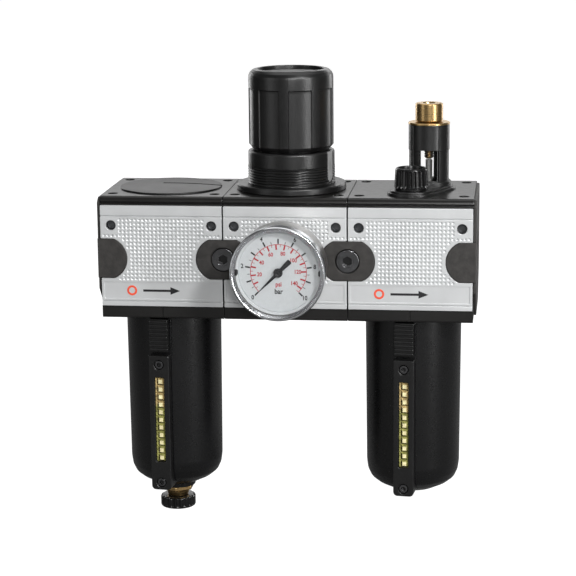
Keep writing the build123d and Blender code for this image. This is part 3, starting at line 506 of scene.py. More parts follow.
COAT = {"Coat_Weight": 0.8, "Coat_Roughness": 0.04}
LOOK = {
    "body_black": surface("cast_black", (0.0060, 0.0056, 0.0052), 0.0, 0.30, (1.6, 0.12), (0.05, 0.2), 0.05,
        wear=0.12, Specular_IOR_Level=0.42),
    "bowl_black": surface("bowl_black", (0.0030, 0.0030, 0.0033), 0.0, 0.28, (1.1, 0.035), (0.03, 0.2), 0.04,
        Specular_IOR_Level=0.42),
    "trim_silver": surface("silver_coat", (0.62, 0.63, 0.635), 0.42, 0.36, (3.0, 0.10), (0.06, 0.05), 0.06,
        Specular_IOR_Level=0.5),
    "plastic_black": surface("moulded_black", (0.0045, 0.0045, 0.0045), 0.0, 0.34, (1.3, 0.60), (0.08, 0.2), 0.06,
        wear=0.1, Specular_IOR_Level=0.55),
    "gloss_black": surface("gloss_black", (0.0045, 0.0045, 0.0047), 0.0, 0.24, (1.5, 0.08), (0.08, 0.2), 0.04,
        Specular_IOR_Level=0.5),
    "clamp_black": surface("clamp_black", (0.027, 0.025, 0.0235), 0.0, 0.55, (1.1, 0.70), (0.25, 0.3), 0.08,
        wear=0.15, Specular_IOR_Level=0.4),
    "screw_dark": surface("screw_dark", (0.16, 0.16, 0.165), 1.0, 0.22, (1.5, 0.2), (0.2, 0.2), 0.06),
    "case_steel": surface("case_steel", (0.36, 0.35, 0.34), 1.0, 0.34, (1.2, 0.05), (0.05, 0.04), 0.03),
    "plastic_grey": surface("plug_grey", (0.060, 0.062, 0.068), 0.0, 0.45, (2.0, 0.3), (0.2, 0.2), 0.06),
    "cap_grey": surface("cap_satin", (0.008, 0.008, 0.008), 0.0, 0.40, (0.6, 0.03), (0.05, 0.15), 0.04,
        Specular_IOR_Level=0.3),
    "brass": surface("turned_brass", (0.52, 0.35, 0.155), 1.0, 0.29, (2.4, 0.12), (0.15, 0.12), 0.07,
        stretch=(0.08, 0.08, 3.0)),
    "steel": surface("zinc_steel", (0.50, 0.50, 0.49), 1.0, 0.34, (1.5, 0.2), (0.1, 0.1), 0.06),
    "steel_black": surface("black_oxide", (0.085, 0.085, 0.088), 0.85, 0.30, (1.5, 0.25), (0.2, 0.2), 0.06),
    "spring_steel": surface("spring_wire", (0.45, 0.45, 0.47), 1.0, 0.3, (1.0, 0.1), (0.2, 0.1), 0.05),
    "gauge_steel": surface("bright_steel", (0.66, 0.67, 0.69), 1.0, 0.19, (1.2, 0.05), (0.05, 0.04), 0.03),
    "dial_white": surface("dial_white", (0.62, 0.645, 0.655), 0.0, 0.5, (1.5, 0.05), (0.4, 0.03), 0.04),
    "pointer_black": surface("pointer_black", (0.006, 0.006, 0.007), 0.0, 0.4, (1.5, 0.05), (0.3, 0.2), 0.04),
    "clear": glass("clear_glass", (0.95, 0.96, 0.97), 0.6),
    "sight_clear": surface("prism_gold", (0.52, 0.39, 0.17), 0.30, 0.14, (0.8, 0.10), (0.35, 0.45), 0.05, **COAT),
    # pale cream for the painted glint on the wide prisms' front faces
    "prism_painted_glint": surface("prism_painted_glint", (0.84, 0.74, 0.42), 0.0, 0.14, (0.8, 0.10), (0.35, 0.25), 0.05, **COAT),
    "prism_green": surface("prism_green", (0.34, 0.33, 0.10), 0.25, 0.14, (0.8, 0.10), (0.35, 0.45), 0.05, **COAT),
    # near black for the painted shade on prism facets facing down or left
    "prism_painted_shade": surface("prism_painted_shade", (0.035, 0.028, 0.010), 0.35, 0.14, (0.8, 0.10), (0.35, 0.45), 0.05, **COAT),
    "sinter_bronze": surface("sinter_bronze", (0.42, 0.28, 0.14), 0.8, 0.6, (3.0, 0.9), (0.5, 0.3), 0.1),
    "vane_white": surface("vane_white", (0.75, 0.75, 0.71), 0.0, 0.45, (1.0, 0.15), (0.1, 0.05), 0.05),
    "rubber_black": surface("rubber", (0.012, 0.012, 0.012), 0.0, 0.75, (1.5, 0.3), (0.2, 0.2), 0.05),
    "print_black": surface("print_black", (0.005, 0.005, 0.006), 0.0, 0.5, (1.5, 0.05), (0.3, 0.2), 0.04),
    "print_red": surface("print_red", (0.46, 0.012, 0.022), 0.0, 0.5, (1.5, 0.05), (0.3, 0.1), 0.04),
    "mark_orange": surface("mark_orange", (0.72, 0.075, 0.03), 0.0, 0.45, (1.5, 0.05), (0.3, 0.1), 0.04),
    # a lighter grey that paints the sheen on the bonnet's keyway floor
    "keyway_painted_sheen": surface("keyway_painted_sheen", (0.16, 0.16, 0.16), 0.0, 0.5, (2.0, 0.3), (0.3, 0.2), 0.05),
    "tube_grey": surface("tube_grey", (0.30, 0.30, 0.29), 0.4, 0.4, (2.0, 0.4), (0.4, 0.3), 0.06),
}


def goes_with(obj, node, look):
    """Gives a detail its finish, and lets it ride with a node's body."""
    obj.data.materials.clear()
    obj.data.materials.append(LOOK[look])
    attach(obj, BODY_OF[node])
    return obj


def stands_for(obj, node, look=None):
    """Gives a piece its finish and its body, and hides the CAD node that it replaces."""
    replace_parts(goes_with(obj, node, look or SLOT_OF[node]), node)


# ---------------------------------------------------------------- module bodies
def flared(name, cx, cy, r, mouth, floor, axis, flare=0.3):
    """A cutter for a round hole with a rounded mouth, from outside the mouth to the floor."""
    out = 1.0 if mouth > floor else -1.0
    profile = [(0, mouth + out), (r + flare, mouth + out), (r + flare, mouth + 0.01 * out),
        (r, mouth - flare * out, flare), (r, floor), (0, floor)]
    return lathe(name, profile, axis, (cx, cy), 40)


def body_section():
    """The section of a body across the flow: y to the right, z up."""
    y, z0, z1, g = BODY_HI.y, BODY_LO.z, BODY_HI.z, 1.4
    seat_low, seat_high = TRIM_LO.z - 0.15, TRIM_HI.z + 0.15
    return soften([(-y, z0, 1.5), (y, z0, 1.5), (y, LEDGE_LOW, 0.4), (y - g, LEDGE_LOW), (y - g, LEDGE_HIGH),
        (y, LEDGE_HIGH, 0.4), (y, z1, 2.8), (-y, z1, 2.8), (-y, LEDGE_HIGH, 0.4), (-y + g, LEDGE_HIGH),
        (-y + g, LEDGE_LOW), (-y, LEDGE_LOW, 0.4), (-y, seat_high, 0.4), (TRIM_BACK, seat_high),
        (TRIM_BACK, seat_low), (-y, seat_low, 0.4)])


def socket_cutter(x):
    """The bowl's bore and its three bayonet entries."""
    bore = lathe("cut", [(0, -36.0), (26.4, -36.0), (26.4, -35.0), (25.8, -34.4, 0.4), (25.8, -20.0), (0, -20.0)],
        "Z", (x, 0.0), 96)
    entries = []
    for i in range(3):
        mid = 135 + 120 * i
        loop = arc(0, 0, 28.6, mid - 17, mid + 17, 16) + arc(0, 0, 20.0, mid + 17, mid - 17, 8)
        entries.append(slab("cut", shifted(loop, x, 0), -36.0, -29.2, "Z", 0.0))
    return [bore] + entries


def port_cutter(x_face, way):
    """A threaded port; way is the direction into the body."""
    profile = [(0, x_face - way), (11.3, x_face - way), (11.3, x_face), (10.2, x_face + 1.1 * way)]
    turns = int((PORT_DEPTH - 2.5) / PORT_PITCH)
    for i in range(turns):
        x = x_face + way * (1.4 + PORT_PITCH * i)
        profile += [(PORT_R, x, 0.1), (PORT_R, x + 0.35 * way, 0.1), (10.3, x + 0.95 * way, 0.1),
            (10.3, x + 1.2 * way, 0.1)]
    end = x_face + way * PORT_DEPTH
    profile += [(PORT_R, end), (8.0, end), (8.0, end + 6 * way), (0, end + 6 * way)]
    return lathe("cut", profile, "X", (0.0, 0.0), 72, steps=2)


def clamp_cutter(x, grow=0.1):
    loop = shifted(clamp_loop(grow), x, CLAMP_Z)
    return [slab("cut", loop, -38.0, CLAMP_INNER, "Y", 0.0), slab("cut", loop, 38.0, -CLAMP_INNER, "Y", 0.0)]


for m in MODULES:
    node = m + "_body"
    x0, x1 = SPAN[m]
    xc = CENTRE[m]
    body = slab(node + "_cast", body_section(), x0, x1, "X", 0.36)
    cutters = []
    for sx in (-1, 1):
        for sy in (-1, 1):
            cutters.append(flared("cut", xc + sx * POCKET_DX, sy * POCKET_DY, POCKET_R, BODY_HI.z,
                BODY_HI.z - POCKET_DEPTH, "Z"))
        cutters.append(lathe("cut", [(0, -36.5), (HOLE_R, -36.5), (HOLE_R, -29.4), (0, -29.4)], "Y",
            (xc + sx * HOLE_DX, HOLE_Z), 40))
        cutters.append(flared("cut", xc + sx * HOLE_DX, HOLE_Z, REAR_HOLE_R, REAR, -20.0, "Y"))
    for joint in [0.0, *JOINTS, SPAN["lubricator"][1]]:
        if x0 - 1 < joint < x1 + 1:
            cutters += clamp_cutter(joint)
    cutters.append(brick("cut", xc - 0.4, xc + 0.4, -36.0, -34.5, BODY_LO.z - 1, TRIM_LO.z, 0.0))
    if m == "regulator":
        cutters.append(lathe("cut", [(0, 36), (6.6, 36), (6.6, 34.9), (5.75, 34.2, 0.3), (5.75, 22), (0, 22)], "Y",
            (xc, GAUGE_Z), 48))
        cutters.append(lathe("cut", [(0, -36), (12.9, -36), (12.9, -35), (12.5, -34.5), (12.5, -24), (0, -24)], "Z",
            (xc, 0.0), 64))
    else:
        cutters += socket_cutter(xc)
    if m == "filter":
        cutters.append(port_cutter(x0, 1.0))
    if m == "lubricator":
        cutters.append(port_cutter(x1, -1.0))
    stands_for(cut(body, cutters), node)


# ---------------------------------------------------------------- silver trims
def trim_loop(z0, z1):
    """The part of a trim between two heights, about the module's centre, with its clamp cut-outs."""
    w, grow = TRIM_HALF_W, 0.2
    r, h = CLAMP_R + grow, CLAMP_HALF_H + grow
    a = math.degrees(math.asin(h / r))
    mid = HALF_PITCH - (CLAMP_HALF_W - CLAMP_R)
    low, high = CLAMP_Z - h, CLAMP_Z + h
    right, left = [], []
    if z0 < low and z1 > high:
        right = [(w, low, 0.4)] + arc(mid, CLAMP_Z, r, 180 + a, 180 - a, 28) + [(w, high, 0.4)]
        left = [(-w, high, 0.4)] + arc(-mid, CLAMP_Z, r, a, -a, 28) + [(-w, low, 0.4)]
    return soften([(-w, z0, 0.5), (w, z0, 0.5)] + right + [(w, z1, 0.5), (-w, z1, 0.5)] + left, steps=3)


def dimple_places(m):
    """Centres of the dimples, clear of the screws, the clamps and the gauge's stem."""
    out = []
    columns = int(2 * (TRIM_HALF_W - 1.0) / DIMPLE_PITCH) + 1
    for i in range(columns):
        x = (i - (columns - 1) / 2) * DIMPLE_PITCH
        for j in range(DIMPLE_ROWS):
            z = DIMPLE_LOW + j * DIMPLE_PITCH
            screw = abs(abs(x) - HOLE_DX) < 4.6 and abs(z - HOLE_Z) < 4.8
            clamp = in_clamp(abs(x) - HALF_PITCH, z - CLAMP_Z, DIMPLE_R + 0.6)
            stem = m == "regulator" and math.hypot(x, z - GAUGE_Z) < 11.0
            if not (screw or clamp or stem):
                out.append((x, z))
    return out


for m in MODULES:
    node = m + "_trim_plate"
    xc = CENTRE[m]
    field_low, field_high = GROOVES[0] + GROOVE_HALF, GROOVES[1] - GROOVE_HALF
    holes = [circle(sx * HOLE_DX, HOLE_Z, HOLE_R, 40) for sx in (-1, 1)]
    if m == "regulator":
        holes.append(circle(0, GAUGE_Z, 9.0))
    panel = rectangle(-PANEL_HALF_W, PANEL_HALF_W, PANEL_LOW, PANEL_HIGH, 0.6)
    parts = [slab("land", trim_loop(field_low, field_high), TRIM_FACE, TRIM_BACK, "Y", 0.22, 0.0, holes,
        [(panel, RELIEF)], dimple_places(m)), slab("land", trim_loop(GROOVES[1] + GROOVE_HALF, TRIM_HI.z),
        TRIM_FACE, TRIM_BACK, "Y", 0.3, 0.0), slab("land", trim_loop(TRIM_LO.z, GROOVES[0] - GROOVE_HALF),
        TRIM_FACE, TRIM_BACK, "Y", 0.3, 0.0), slab("land", trim_loop(TRIM_LO.z + 0.3, TRIM_HI.z - 0.3),
        TRIM_FACE + GROOVE_DEPTH, TRIM_BACK, "Y", 0.1, 0.0, holes)]
    trim = joined(node + "_front", parts)
    stands_for(moved(trim, Matrix.Translation((xc, 0, 0))), node)

# plain flow marks on the two outer panels
for m in ("filter", "lubricator"):
    zc, y = (PANEL_LOW + PANEL_HIGH) / 2, TRIM_FACE + RELIEF
    x0 = CENTRE[m] - 17.3
    dot = slab("dot", circle(x0, zc, 2.9, 40), y - MARK_H, y + 0.2, "Y", 0.03, 0.0, [circle(x0, zc, 1.75, 32)])
    goes_with(dot, m + "_trim_plate", "mark_orange").name = m + "_flow_dot"
    shaft = [(x0 + 6.4, zc - 0.65), (x0 + 22.0, zc - 0.65), (x0 + 22.0, zc - 2.2), (x0 + 27.5, zc),
        (x0 + 22.0, zc + 2.2), (x0 + 22.0, zc + 0.65), (x0 + 6.4, zc + 0.65)]
    arrow = slab("arrow", shaft, y - MARK_H, y + 0.2, "Y", 0.03, 0.0)
    goes_with(arrow, m + "_trim_plate", "print_black").name = m + "_flow_arrow"

plugs = []
for m in MODULES:
    for sx in (-1, 1):
        profile = [(0, -31.6), (1.6, -31.6, 0.2), (1.8, -32.0, 0.15), (2.83, -32.0, 0.25), (2.83, -29.5),
            (0, -29.5)]
        plugs.append(lathe("plug", profile, "Y", (CENTRE[m] + sx * HOLE_DX, HOLE_Z), 40))
stands_for(joined("hole_plugs_set", plugs), "hole_plugs")


# ---------------------------------------------------------------- clamps and end covers
MIRROR_Y = Matrix.Diagonal((1.0, -1.0, 1.0, 1.0))
plates, screws, socket_shades = [], [], []
for x in JOINTS:
    for face, rear in ((TRIM_FACE, False), (-REAR, True)):
        loop = shifted(clamp_loop(), x, CLAMP_Z)
        seat = circle(x, CLAMP_Z, CLAMP_HEAD_R + 0.3, 56)
        plate = slab("plate", loop, face, CLAMP_INNER + 0.2, "Y", 0.45, 0.2, pockets=[(seat, CLAMP_HEAD_SUNK)])
        head = slab("screw", circle(x, CLAMP_Z, CLAMP_HEAD_R, 56), face + 0.25, face + CLAMP_HEAD_SUNK, "Y", 0.55,
            0.0, pockets=[(circle(x, CLAMP_Z, 3.45, 40), 0.35)])
        socket = slab("cut", hexagon(x, CLAMP_Z, CLAMP_HEX), face - 1, face + CLAMP_HEAD_SUNK - 0.15, "Y", 0.0)
        head = cut(head, [socket])
        # a gloss black hex sheet at the bottom of each socket: painted shade inside the socket
        floor = slab("floor", hexagon(x, CLAMP_Z, CLAMP_HEX - 0.1), face + CLAMP_HEAD_SUNK - 0.35,
            face + CLAMP_HEAD_SUNK - 0.16, "Y", 0.0)
        for obj, group in ((plate, plates), (head, screws), (floor, socket_shades)):
            group.append(moved(obj, MIRROR_Y) if rear else obj)
stands_for(joined("joint_plates_set", plates), "joint_plates", "clamp_black")
stands_for(joined("joint_screws_set", screws, 30), "joint_screws", "screw_dark")
goes_with(joined("joint_screw_socket_shades", socket_shades), "joint_screws", "gloss_black")

for node, x_face, way in (("end_cover_inlet", 0.0, -1.0), ("end_cover_outlet", SPAN["lubricator"][1], 1.0)):
    y, top, low = REAR, box(node)[1].z, box(node)[0].z
    side = soften([(-y, top - 2.5, 1.0), (-y, -18, 1.0), (-20, low, 1.0), (20, low, 1.0), (y, -18, 1.0),
        (y, top - 2.5, 1.0), (31.5, top, 1.0), (-31.5, top, 1.0)])
    outer = x_face + COVER_T * way
    cover = slab("cover", side, outer, x_face + 0.02 * way, "X", 0.4, 0.05, [circle(0, 0, COVER_HOLE_R, 72)])
    arc_half = math.degrees(math.asin(CLAMP_HALF_H / CLAMP_R))
    mid = 90 + 90 * way
    ear = arc(way * (CLAMP_R - CLAMP_HALF_W), 0, CLAMP_R, mid - arc_half, mid + arc_half, 28)
    ear += [(COVER_T * way, -CLAMP_HALF_H * way), (COVER_T * way, CLAMP_HALF_H * way)]
    ear = shifted(ear, x_face, CLAMP_Z)
    front = slab("ear", ear, TRIM_FACE, CLAMP_INNER + 0.1, "Y", 0.45, 0.1)
    back = slab("ear", ear, REAR, -CLAMP_INNER - 0.1, "Y", 0.45, 0.1)
    stands_for(joined(node + "_set", [cover, front, back]), node, "clamp_black")


# ---------------------------------------------------------------- filter cap
FX = CENTRE["filter"]
cap_top = box("filter_top_cap")[1].z
ball = (CAP_R ** 2 + (cap_top - CAP_EDGE) ** 2) / (2 * (cap_top - CAP_EDGE))
dome = [(r, cap_top - ball + math.sqrt(ball ** 2 - r ** 2)) for r in [CAP_R * i / 14 for i in range(14)]]
cap = lathe("filter_top_cap_disc", dome + [(CAP_R, CAP_EDGE, 0.45), (CAP_R, 34.6), (0, 34.6)], "Z", (FX, 0.0), 128)
slot = slab("cut", rectangle(FX - 5.0, FX + 31.0, 0.0, 2.4, 0.5), cap_top + 1, 35.2, "Z", 0.0)
stands_for(cut(cap, [slot]), "filter_top_cap")


# ---------------------------------------------------------------- bowls
def prism_strip(name):
    """Reflecting prisms in the sight window: a row of large blunt pyramids beside a row of small ones."""
    bm = bmesh.new()
    low, high = WINDOW_LOW + 0.3, WINDOW_HIGH - 0.3
    for x0, x1, count, depth in ((PRISM_SPLIT, PRISM_HALF_W, 11, 1.3), (-PRISM_HALF_W, PRISM_SPLIT, 22, 0.6)):
        step = (high - low) / count
        for i in range(count):
            z0, z1 = low + i * step, low + (i + 1) * step
            base, back = PRISM_FACE + depth, PRISM_FACE + 3.0
            ax, az = (x1 - x0) * 0.25, (z1 - z0) * 0.25
            low_ring = [(x0, z0), (x1, z0), (x1, z1), (x0, z1)]
            top_ring = [(x0 + ax, z0 + az), (x1 - ax, z0 + az), (x1 - ax, z1 - az), (x0 + ax, z1 - az)]
            rows = [[bm.verts.new((x, y, z)) for x, z in ring] for y, ring in ((back, low_ring), (base, low_ring),
                (PRISM_FACE, top_ring))]
            bridge(bm, rows)
            bm.faces.new(rows[0])
            bm.faces.new(rows[2])
    return to_object(name, bm, 15)


def bowl_set(m, drain):
    xc = CENTRE[m]
    turn = turned_at(xc, 0, BOWL_TURN)
    foot = [(10.5, -143.5, 0.4), (10.5, -140.6, 1.0), (13.6, -140.0, 3.0)] if drain else [(3.5, -142.7, 1.5),
        (12.5, -140.3, 3.0), (13.6, -140.0, 3.0)]
    outer = [(0, foot[0][1])] + foot + [(20.6, -136.5, 6.0), (24.4, -133.4, 5.0), (26.2, -129.4, 6.0),
        (26.9, -124.5, 20.0), (27.5, -43.0), (27.5, -35.9, 0.5), (25.4, -35.9), (25.4, -17.0), (22.8, -17.0),
        (22.8, -38.5), (24.7, -41.0), (24.2, -124.5), (22.0, -131.0), (18.6, -134.0), (12.0, -136.9), (0, -138.6)]
    shell = lathe("shell", outer, "Z", (0.0, 0.0), 160, steps=6)
    pad = slab("pad", rectangle(-BAR_HALF_W, BAR_HALF_W, BAR_LO_Z, BAR_HI_Z, 2.4), BAR_BACK - 0.5, -20.0, "Y", 0.2,
        0.0)
    guide = slab("guide", rectangle(-6.4, 6.4, -58.4, -37.4, 0.5), -28.3, -20.0, "Y", 0.4, 0.0)
    bowl = joined(m + "_bowl_shell", [shell, pad, guide])
    stands_for(moved(bowl, turn), m + "_bowl")

    bar_loop = soften([(-BAR_HALF_W, BAR_LO_Z, 2.4), (BAR_HALF_W, BAR_LO_Z, 2.4), (BAR_HALF_W, BAR_HI_Z, 0.8),
        (-BAR_HALF_W, BAR_HI_Z, 0.8)])
    window = rectangle(-WINDOW_HALF_W, WINDOW_HALF_W, WINDOW_LOW, WINDOW_HIGH, 0.9)
    recess = [(circle(0, z, 2.8, 36), 1.9) for z in BAR_SCREWS]
    bar = slab(m + "_sight_bar", bar_loop, BAR_FACE, BAR_BACK, "Y", 0.5, 0.1, [window], recess)
    stands_for(moved(bar, turn), m + "_sight_cover")

    seat = slab("seat", rectangle(-4.6, 4.6, WINDOW_LOW - 2.5, WINDOW_HIGH + 2.5, 1.0), -30.5, -28.6, "Y", 0.1)
    prisms = joined(m + "_prisms", [seat, prism_strip("strip")], 15)
    stands_for(moved(prisms, turn), m + "_sight_glass")
    # painted light by facing: the wide row's front faces take the cream painted glint, facets facing down or left
    # the dark painted shade; the rest are gold above and green below
    for look in ("prism_painted_glint", "prism_green", "prism_painted_shade"):
        prisms.data.materials.append(LOOK[look])
    for facet in prisms.data.polygons:
        n, z = facet.normal, facet.center.z / MM
        narrow = (turn.inverted() @ (facet.center / MM)).x < PRISM_SPLIT
        tint = 0 if z > WINDOW_HIGH - 17 else 2
        if n.y < -0.95:
            facet.material_index = tint if narrow else 1
        elif n.z < -0.2 or n.x < -0.35:
            facet.material_index = 3
        else:
            facet.material_index = tint

    heads = []
    for z in BAR_SCREWS:
        head = slab("head", circle(0, z, 2.55, 36), -32.55, -30.2, "Y", 0.55, 0.0)
        heads.append(cut(head, [slab("cut", hexagon(0, z, 2.5), -34, -31.2, "Y", 0.0)]))
    heads = joined(m + "_sight_screw_pair", heads, 30)
    stands_for(moved(heads, turn), m + "_sight_screws", "screw_dark")
    # gloss black hex sheets at the sockets' bottoms: painted shade inside the sockets
    socket_shades = [slab("floor", hexagon(0, z, 2.4), -31.45, -31.25, "Y", 0.0) for z in BAR_SCREWS]
    goes_with(moved(joined(m + "_sight_screw_socket_shades", socket_shades), turn), m + "_sight_screws", "gloss_black")

    base = BAR_FACE + 0.8
    side = [(-28.6, LATCH_LOW, 0.3), (-28.6, LATCH_HIGH, 0.3), (base, LATCH_HIGH, 0.6)]
    for i in reversed(range(8)):
        z = LATCH_LOW + 1.3 + 2.3 * i
        side += arc(base, z, 0.78, 90, 270, 8)
    side += [(base, LATCH_LOW, 0.2)]
    slider = slab(m + "_latch_slider", soften(side, steps=3), LATCH_HALF_W, -LATCH_HALF_W, "X", 0.3)
    stands_for(moved(slider, turn), m + "_latch")


bowl_set("filter", True)
bowl_set("lubricator", False)

# drain
nut = slab("nut", soften([(x, y, 0.5) for x, y in hexagon(FX, 0, 17.4)]), -143.5, -146.0, "Z", 0.35)
cone = lathe("cone", [(0, -145.5), (8.4, -145.5), (8.4, -146.0, 0.2), (6.9, -147.0, 0.4), (6.3, -149.0, 0.4),
    (6.0, -150.2, 0.3), (0, -150.2)], "Z", (FX, 0.0), 64)
stands_for(joined("drain_body_nut", [nut, cone]), "drain_body")


def fluted(count, depth, low, high, outer, phase=0.0):
    """Radius with rounded flutes between two heights."""
    def radius(r, h, t):
        if r < 0.8 * outer or not low < h < high:
            return r
        ends = min(1.0, (h - low) / 0.6, (high - h) / 0.6)
        wave = max(0.0, math.cos(count * (t - phase)) + 0.45) / 1.45
        return r - depth * math.sqrt(wave) * ends
    return radius


KNOB_D_LO, KNOB_D_HI = -156.8, -150.3
knob = lathe("drain_knob_fluted", [(0, -149.6), (2.6, -149.6), (2.6, -150.6), (9.4, KNOB_D_HI, 0.5),
    (10.3, KNOB_D_HI - 0.5, 0.5), (10.3, KNOB_D_LO, 0.9), (4.0, KNOB_D_LO, 0.4), (3.6, KNOB_D_LO + 1.2),
    (0, KNOB_D_LO + 1.2)], "Z", (FX, 0.0), 216, fluted(18, 0.85, KNOB_D_LO + 0.5, KNOB_D_HI + 0.4, 10.3), 0.6)
stands_for(knob, "drain_knob", "gloss_black")


# ---------------------------------------------------------------- regulator bonnet and knob
def thread_radius(r, h, t):
    """The panel thread: a rounded helical ridge on the bonnet's lower part."""
    if r < THREAD_R - 0.2 or not FLANGE_TOP < h < THREAD_TOP:
        return r
    phase = (h / THREAD_PITCH - t / (2 * math.pi)) % 1.0
    ends = min(1.0, (h - FLANGE_TOP) / 0.5, (THREAD_TOP - h) / 0.5)
    return r - 0.62 * abs(2 * phase - 1) ** 0.8 * ends


flange = lathe("flange", [(BORE_R, 34.9), (30.6, 34.9), (31.2, 35.4, 0.3), (31.2, FLANGE_TOP, 0.9),
    (24.0, FLANGE_TOP - 0.1), (BORE_R, FLANGE_TOP - 0.1)], "Z", BONNET, 144)
collar_path = [(BORE_R, 38.0), (THREAD_R - 0.6, 38.0), (THREAD_R - 0.6, FLANGE_TOP)]
collar_path += [(THREAD_R, FLANGE_TOP + 0.1875 * i) for i in range(1, 52)]
collar_path += [(THREAD_R - 0.55, THREAD_TOP + 0.2), (RING_R, THREAD_TOP + 0.7, 0.2), (RING_R, RING_TOP, 1.3),
    (18.5, RING_TOP), (18.5, 84.0, 0.4), (SPINDLE_R + 0.1, 84.0), (SPINDLE_R + 0.1, 81.0), (BORE_R, 81.0)]
collar = lathe("collar", collar_path, "Z", BONNET, 192, thread_radius)
key_loop = arc(0, KEY_LOW, KEY_R, 180, 360, 20) + [(KEY_R, 62.0), (-KEY_R, 62.0)]
key = moved(slab("cut", key_loop, -27.5, -23.8, "Y", 0.0), turned_at(BONNET_X, 0, KEY_ANGLE))
collar = cut(collar, [key])
stands_for(joined("regulator_bonnet_shell", [flange, collar]), "regulator_bonnet")
# a lighter grey strip on the keyway's floor: painted sheen where the floor catches the light
strip_r = KEY_R - KEY_GAP
strip_loop = arc(0, KEY_LOW, strip_r, 180, 360, 20) + [(strip_r, 57.2), (-strip_r, 57.2)]
keyway_sheen_strip = slab("regulator_keyway_painted_sheen", strip_loop, -24.0, -23.0, "Y", 0.1)
goes_with(moved(keyway_sheen_strip, turned_at(BONNET_X, 0, KEY_ANGLE)), "regulator_bonnet", "keyway_painted_sheen")

RIB_COUNT, RIB_HALF, FIRST_RIB = 8, 6.5, -93.2
EDGE = ((-0.5, 0.0), (-0.25, 0.15), (0.0, 0.5), (0.25, 0.85), (0.5, 1.0))


def knob_angles():
    out = []
    for i in range(RIB_COUNT):
        mid = FIRST_RIB + 45.0 * i
        out += [mid + a for a in (-3.5, 0.0, 3.5)]
        out += [mid + RIB_HALF + e for e, _ in EDGE]
        out += [mid + RIB_HALF + 32.0 * k / 8 for k in range(1, 8)]
        out += [mid + 45.0 - RIB_HALF - e for e, _ in reversed(EDGE)]
    return [math.radians(a) for a in out]


def knob_radius(r, h, t):
    """Eight shallow panels between ribs, below the knob's plain band."""
    if r < KNOB_R - 3.0 or h > PANEL_TOP + 0.3:
        return r
    off = (math.degrees(t) - FIRST_RIB) % 45.0
    off = min(off, 45.0 - off) - RIB_HALF
    deep = next((v for e, v in reversed(EDGE) if off >= e - 1e-6), 0.0)
    deep *= min(1.0, max(0.0, (PANEL_TOP + 0.3 - h) / 0.6))
    return r - deep * max(0.0, r - (KNOB_R - PANEL_DEPTH))


KNOB_LOW, KNOB_TOP = KNOB_LO.z, KNOB_HI.z
knob_path = [(0, 84.6), (8.0, 84.6), (8.0, 90.0), (20.8, 90.0), (20.8, KNOB_LOW, 0.2), (21.8, KNOB_LOW, 0.3),
    (KNOB_R, KNOB_LOW + 2.5, 0.5)]
knob_path += [(KNOB_R, z) for z in (64.0, 68.0, 72.0, 76.0, 80.0, 84.0, 88.0, 91.0, 92.4, 92.65, 92.8, 92.95, 93.1)]
knob_path += [(KNOB_R, KNOB_SHOULDER), (KNOB_R - 0.25, KNOB_SHOULDER + 1.6, 1.5),
    (KNOB_R - 1.1, KNOB_SHOULDER + 3.2, 1.5), (21.4, KNOB_TOP - 0.3, 0.8), (20.2, KNOB_TOP, 0.4),
    (18.6, KNOB_TOP, 0.4), (18.5, 101.0), (0, 101.0)]
grip = lathe("adjusting_knob_grip", knob_path, "Z", BONNET, shape=knob_radius, angles=knob_angles())
broach = slab("cut", hexagon(BONNET_X, 0, KNOB_HEX), 99.5, 83.0, "Z", 0.0)
stands_for(cut(grip, [broach], 35), "adjusting_knob")
disc = lathe("adjusting_knob_disc_top", [(0, 101.6), (8.0, 101.6, 0.3), (8.4, 101.35, 0.2), (8.9, 101.6, 0.2),
    (16.4, 101.6, 0.2), (16.8, 101.35, 0.2), (17.2, 101.6, 0.2), (18.4, 101.5, 0.2), (18.4, 100.6), (0, 100.6)],
    "Z", BONNET, 96)
stands_for(disc, "adjusting_knob_disc")
bottom = lathe("regulator_bottom_plug_cap", [(0, -33.9), (8.0, -33.9, 0.3), (8.6, -34.5, 0.3), (12.4, -34.5, 0.5),
    (12.4, -25.0), (0, -25.0)], "Z", BONNET, 72)
bottom_hex = slab("cut", hexagon(BONNET_X, 0, 10.0), -36.0, -29.0, "Z", 0.0)
stands_for(cut(bottom, [bottom_hex]), "regulator_bottom_plug")
rear_plug = lathe("gauge_port_plug_head", [(0, 34.6), (4.6, 34.6, 0.3), (5.7, 34.0, 0.4), (5.7, 25.0), (0, 25.0)],
    "Y", GAUGE, 56)
plug_hex = slab("cut", hexagon(BONNET_X, GAUGE_Z, 6.0), 36.0, 30.0, "Y", 0.0)
stands_for(cut(rear_plug, [plug_hex]), "gauge_port_plug")


# ---------------------------------------------------------------- gauge
GX = BONNET_X
stands_for(lathe("gauge_case_shell", [(0, GAUGE_BACK), (22.0, GAUGE_BACK, 1.0), (24.9, GAUGE_BACK - 1.4, 1.6),
    (24.9, -69.3, 0.2), (23.8, -69.3), (23.8, GAUGE_BACK - 2.5), (0, GAUGE_BACK - 2.5)], "Y", GAUGE, 144),
    "gauge_case", "case_steel")
stands_for(lathe("gauge_bezel_ring", [(23.3, -70.9, 0.15), (24.45, GAUGE_FACE + 0.25, 0.25),
    (24.8, GAUGE_FACE, 0.3), (25.5, GAUGE_FACE, 0.5), (BEZEL_R, -71.6, 0.9), (BEZEL_R, -65.4, 0.5),
    (25.6, -64.5, 0.4), (24.95, -64.5), (24.95, -70.4)], "Y", GAUGE, 160), "gauge_bezel")
stands_for(lathe("gauge_window_pane", [(0, -71.0), (23.6, -71.0), (23.6, -70.2), (0, -70.2)], "Y", GAUGE, 96),
    "gauge_window")
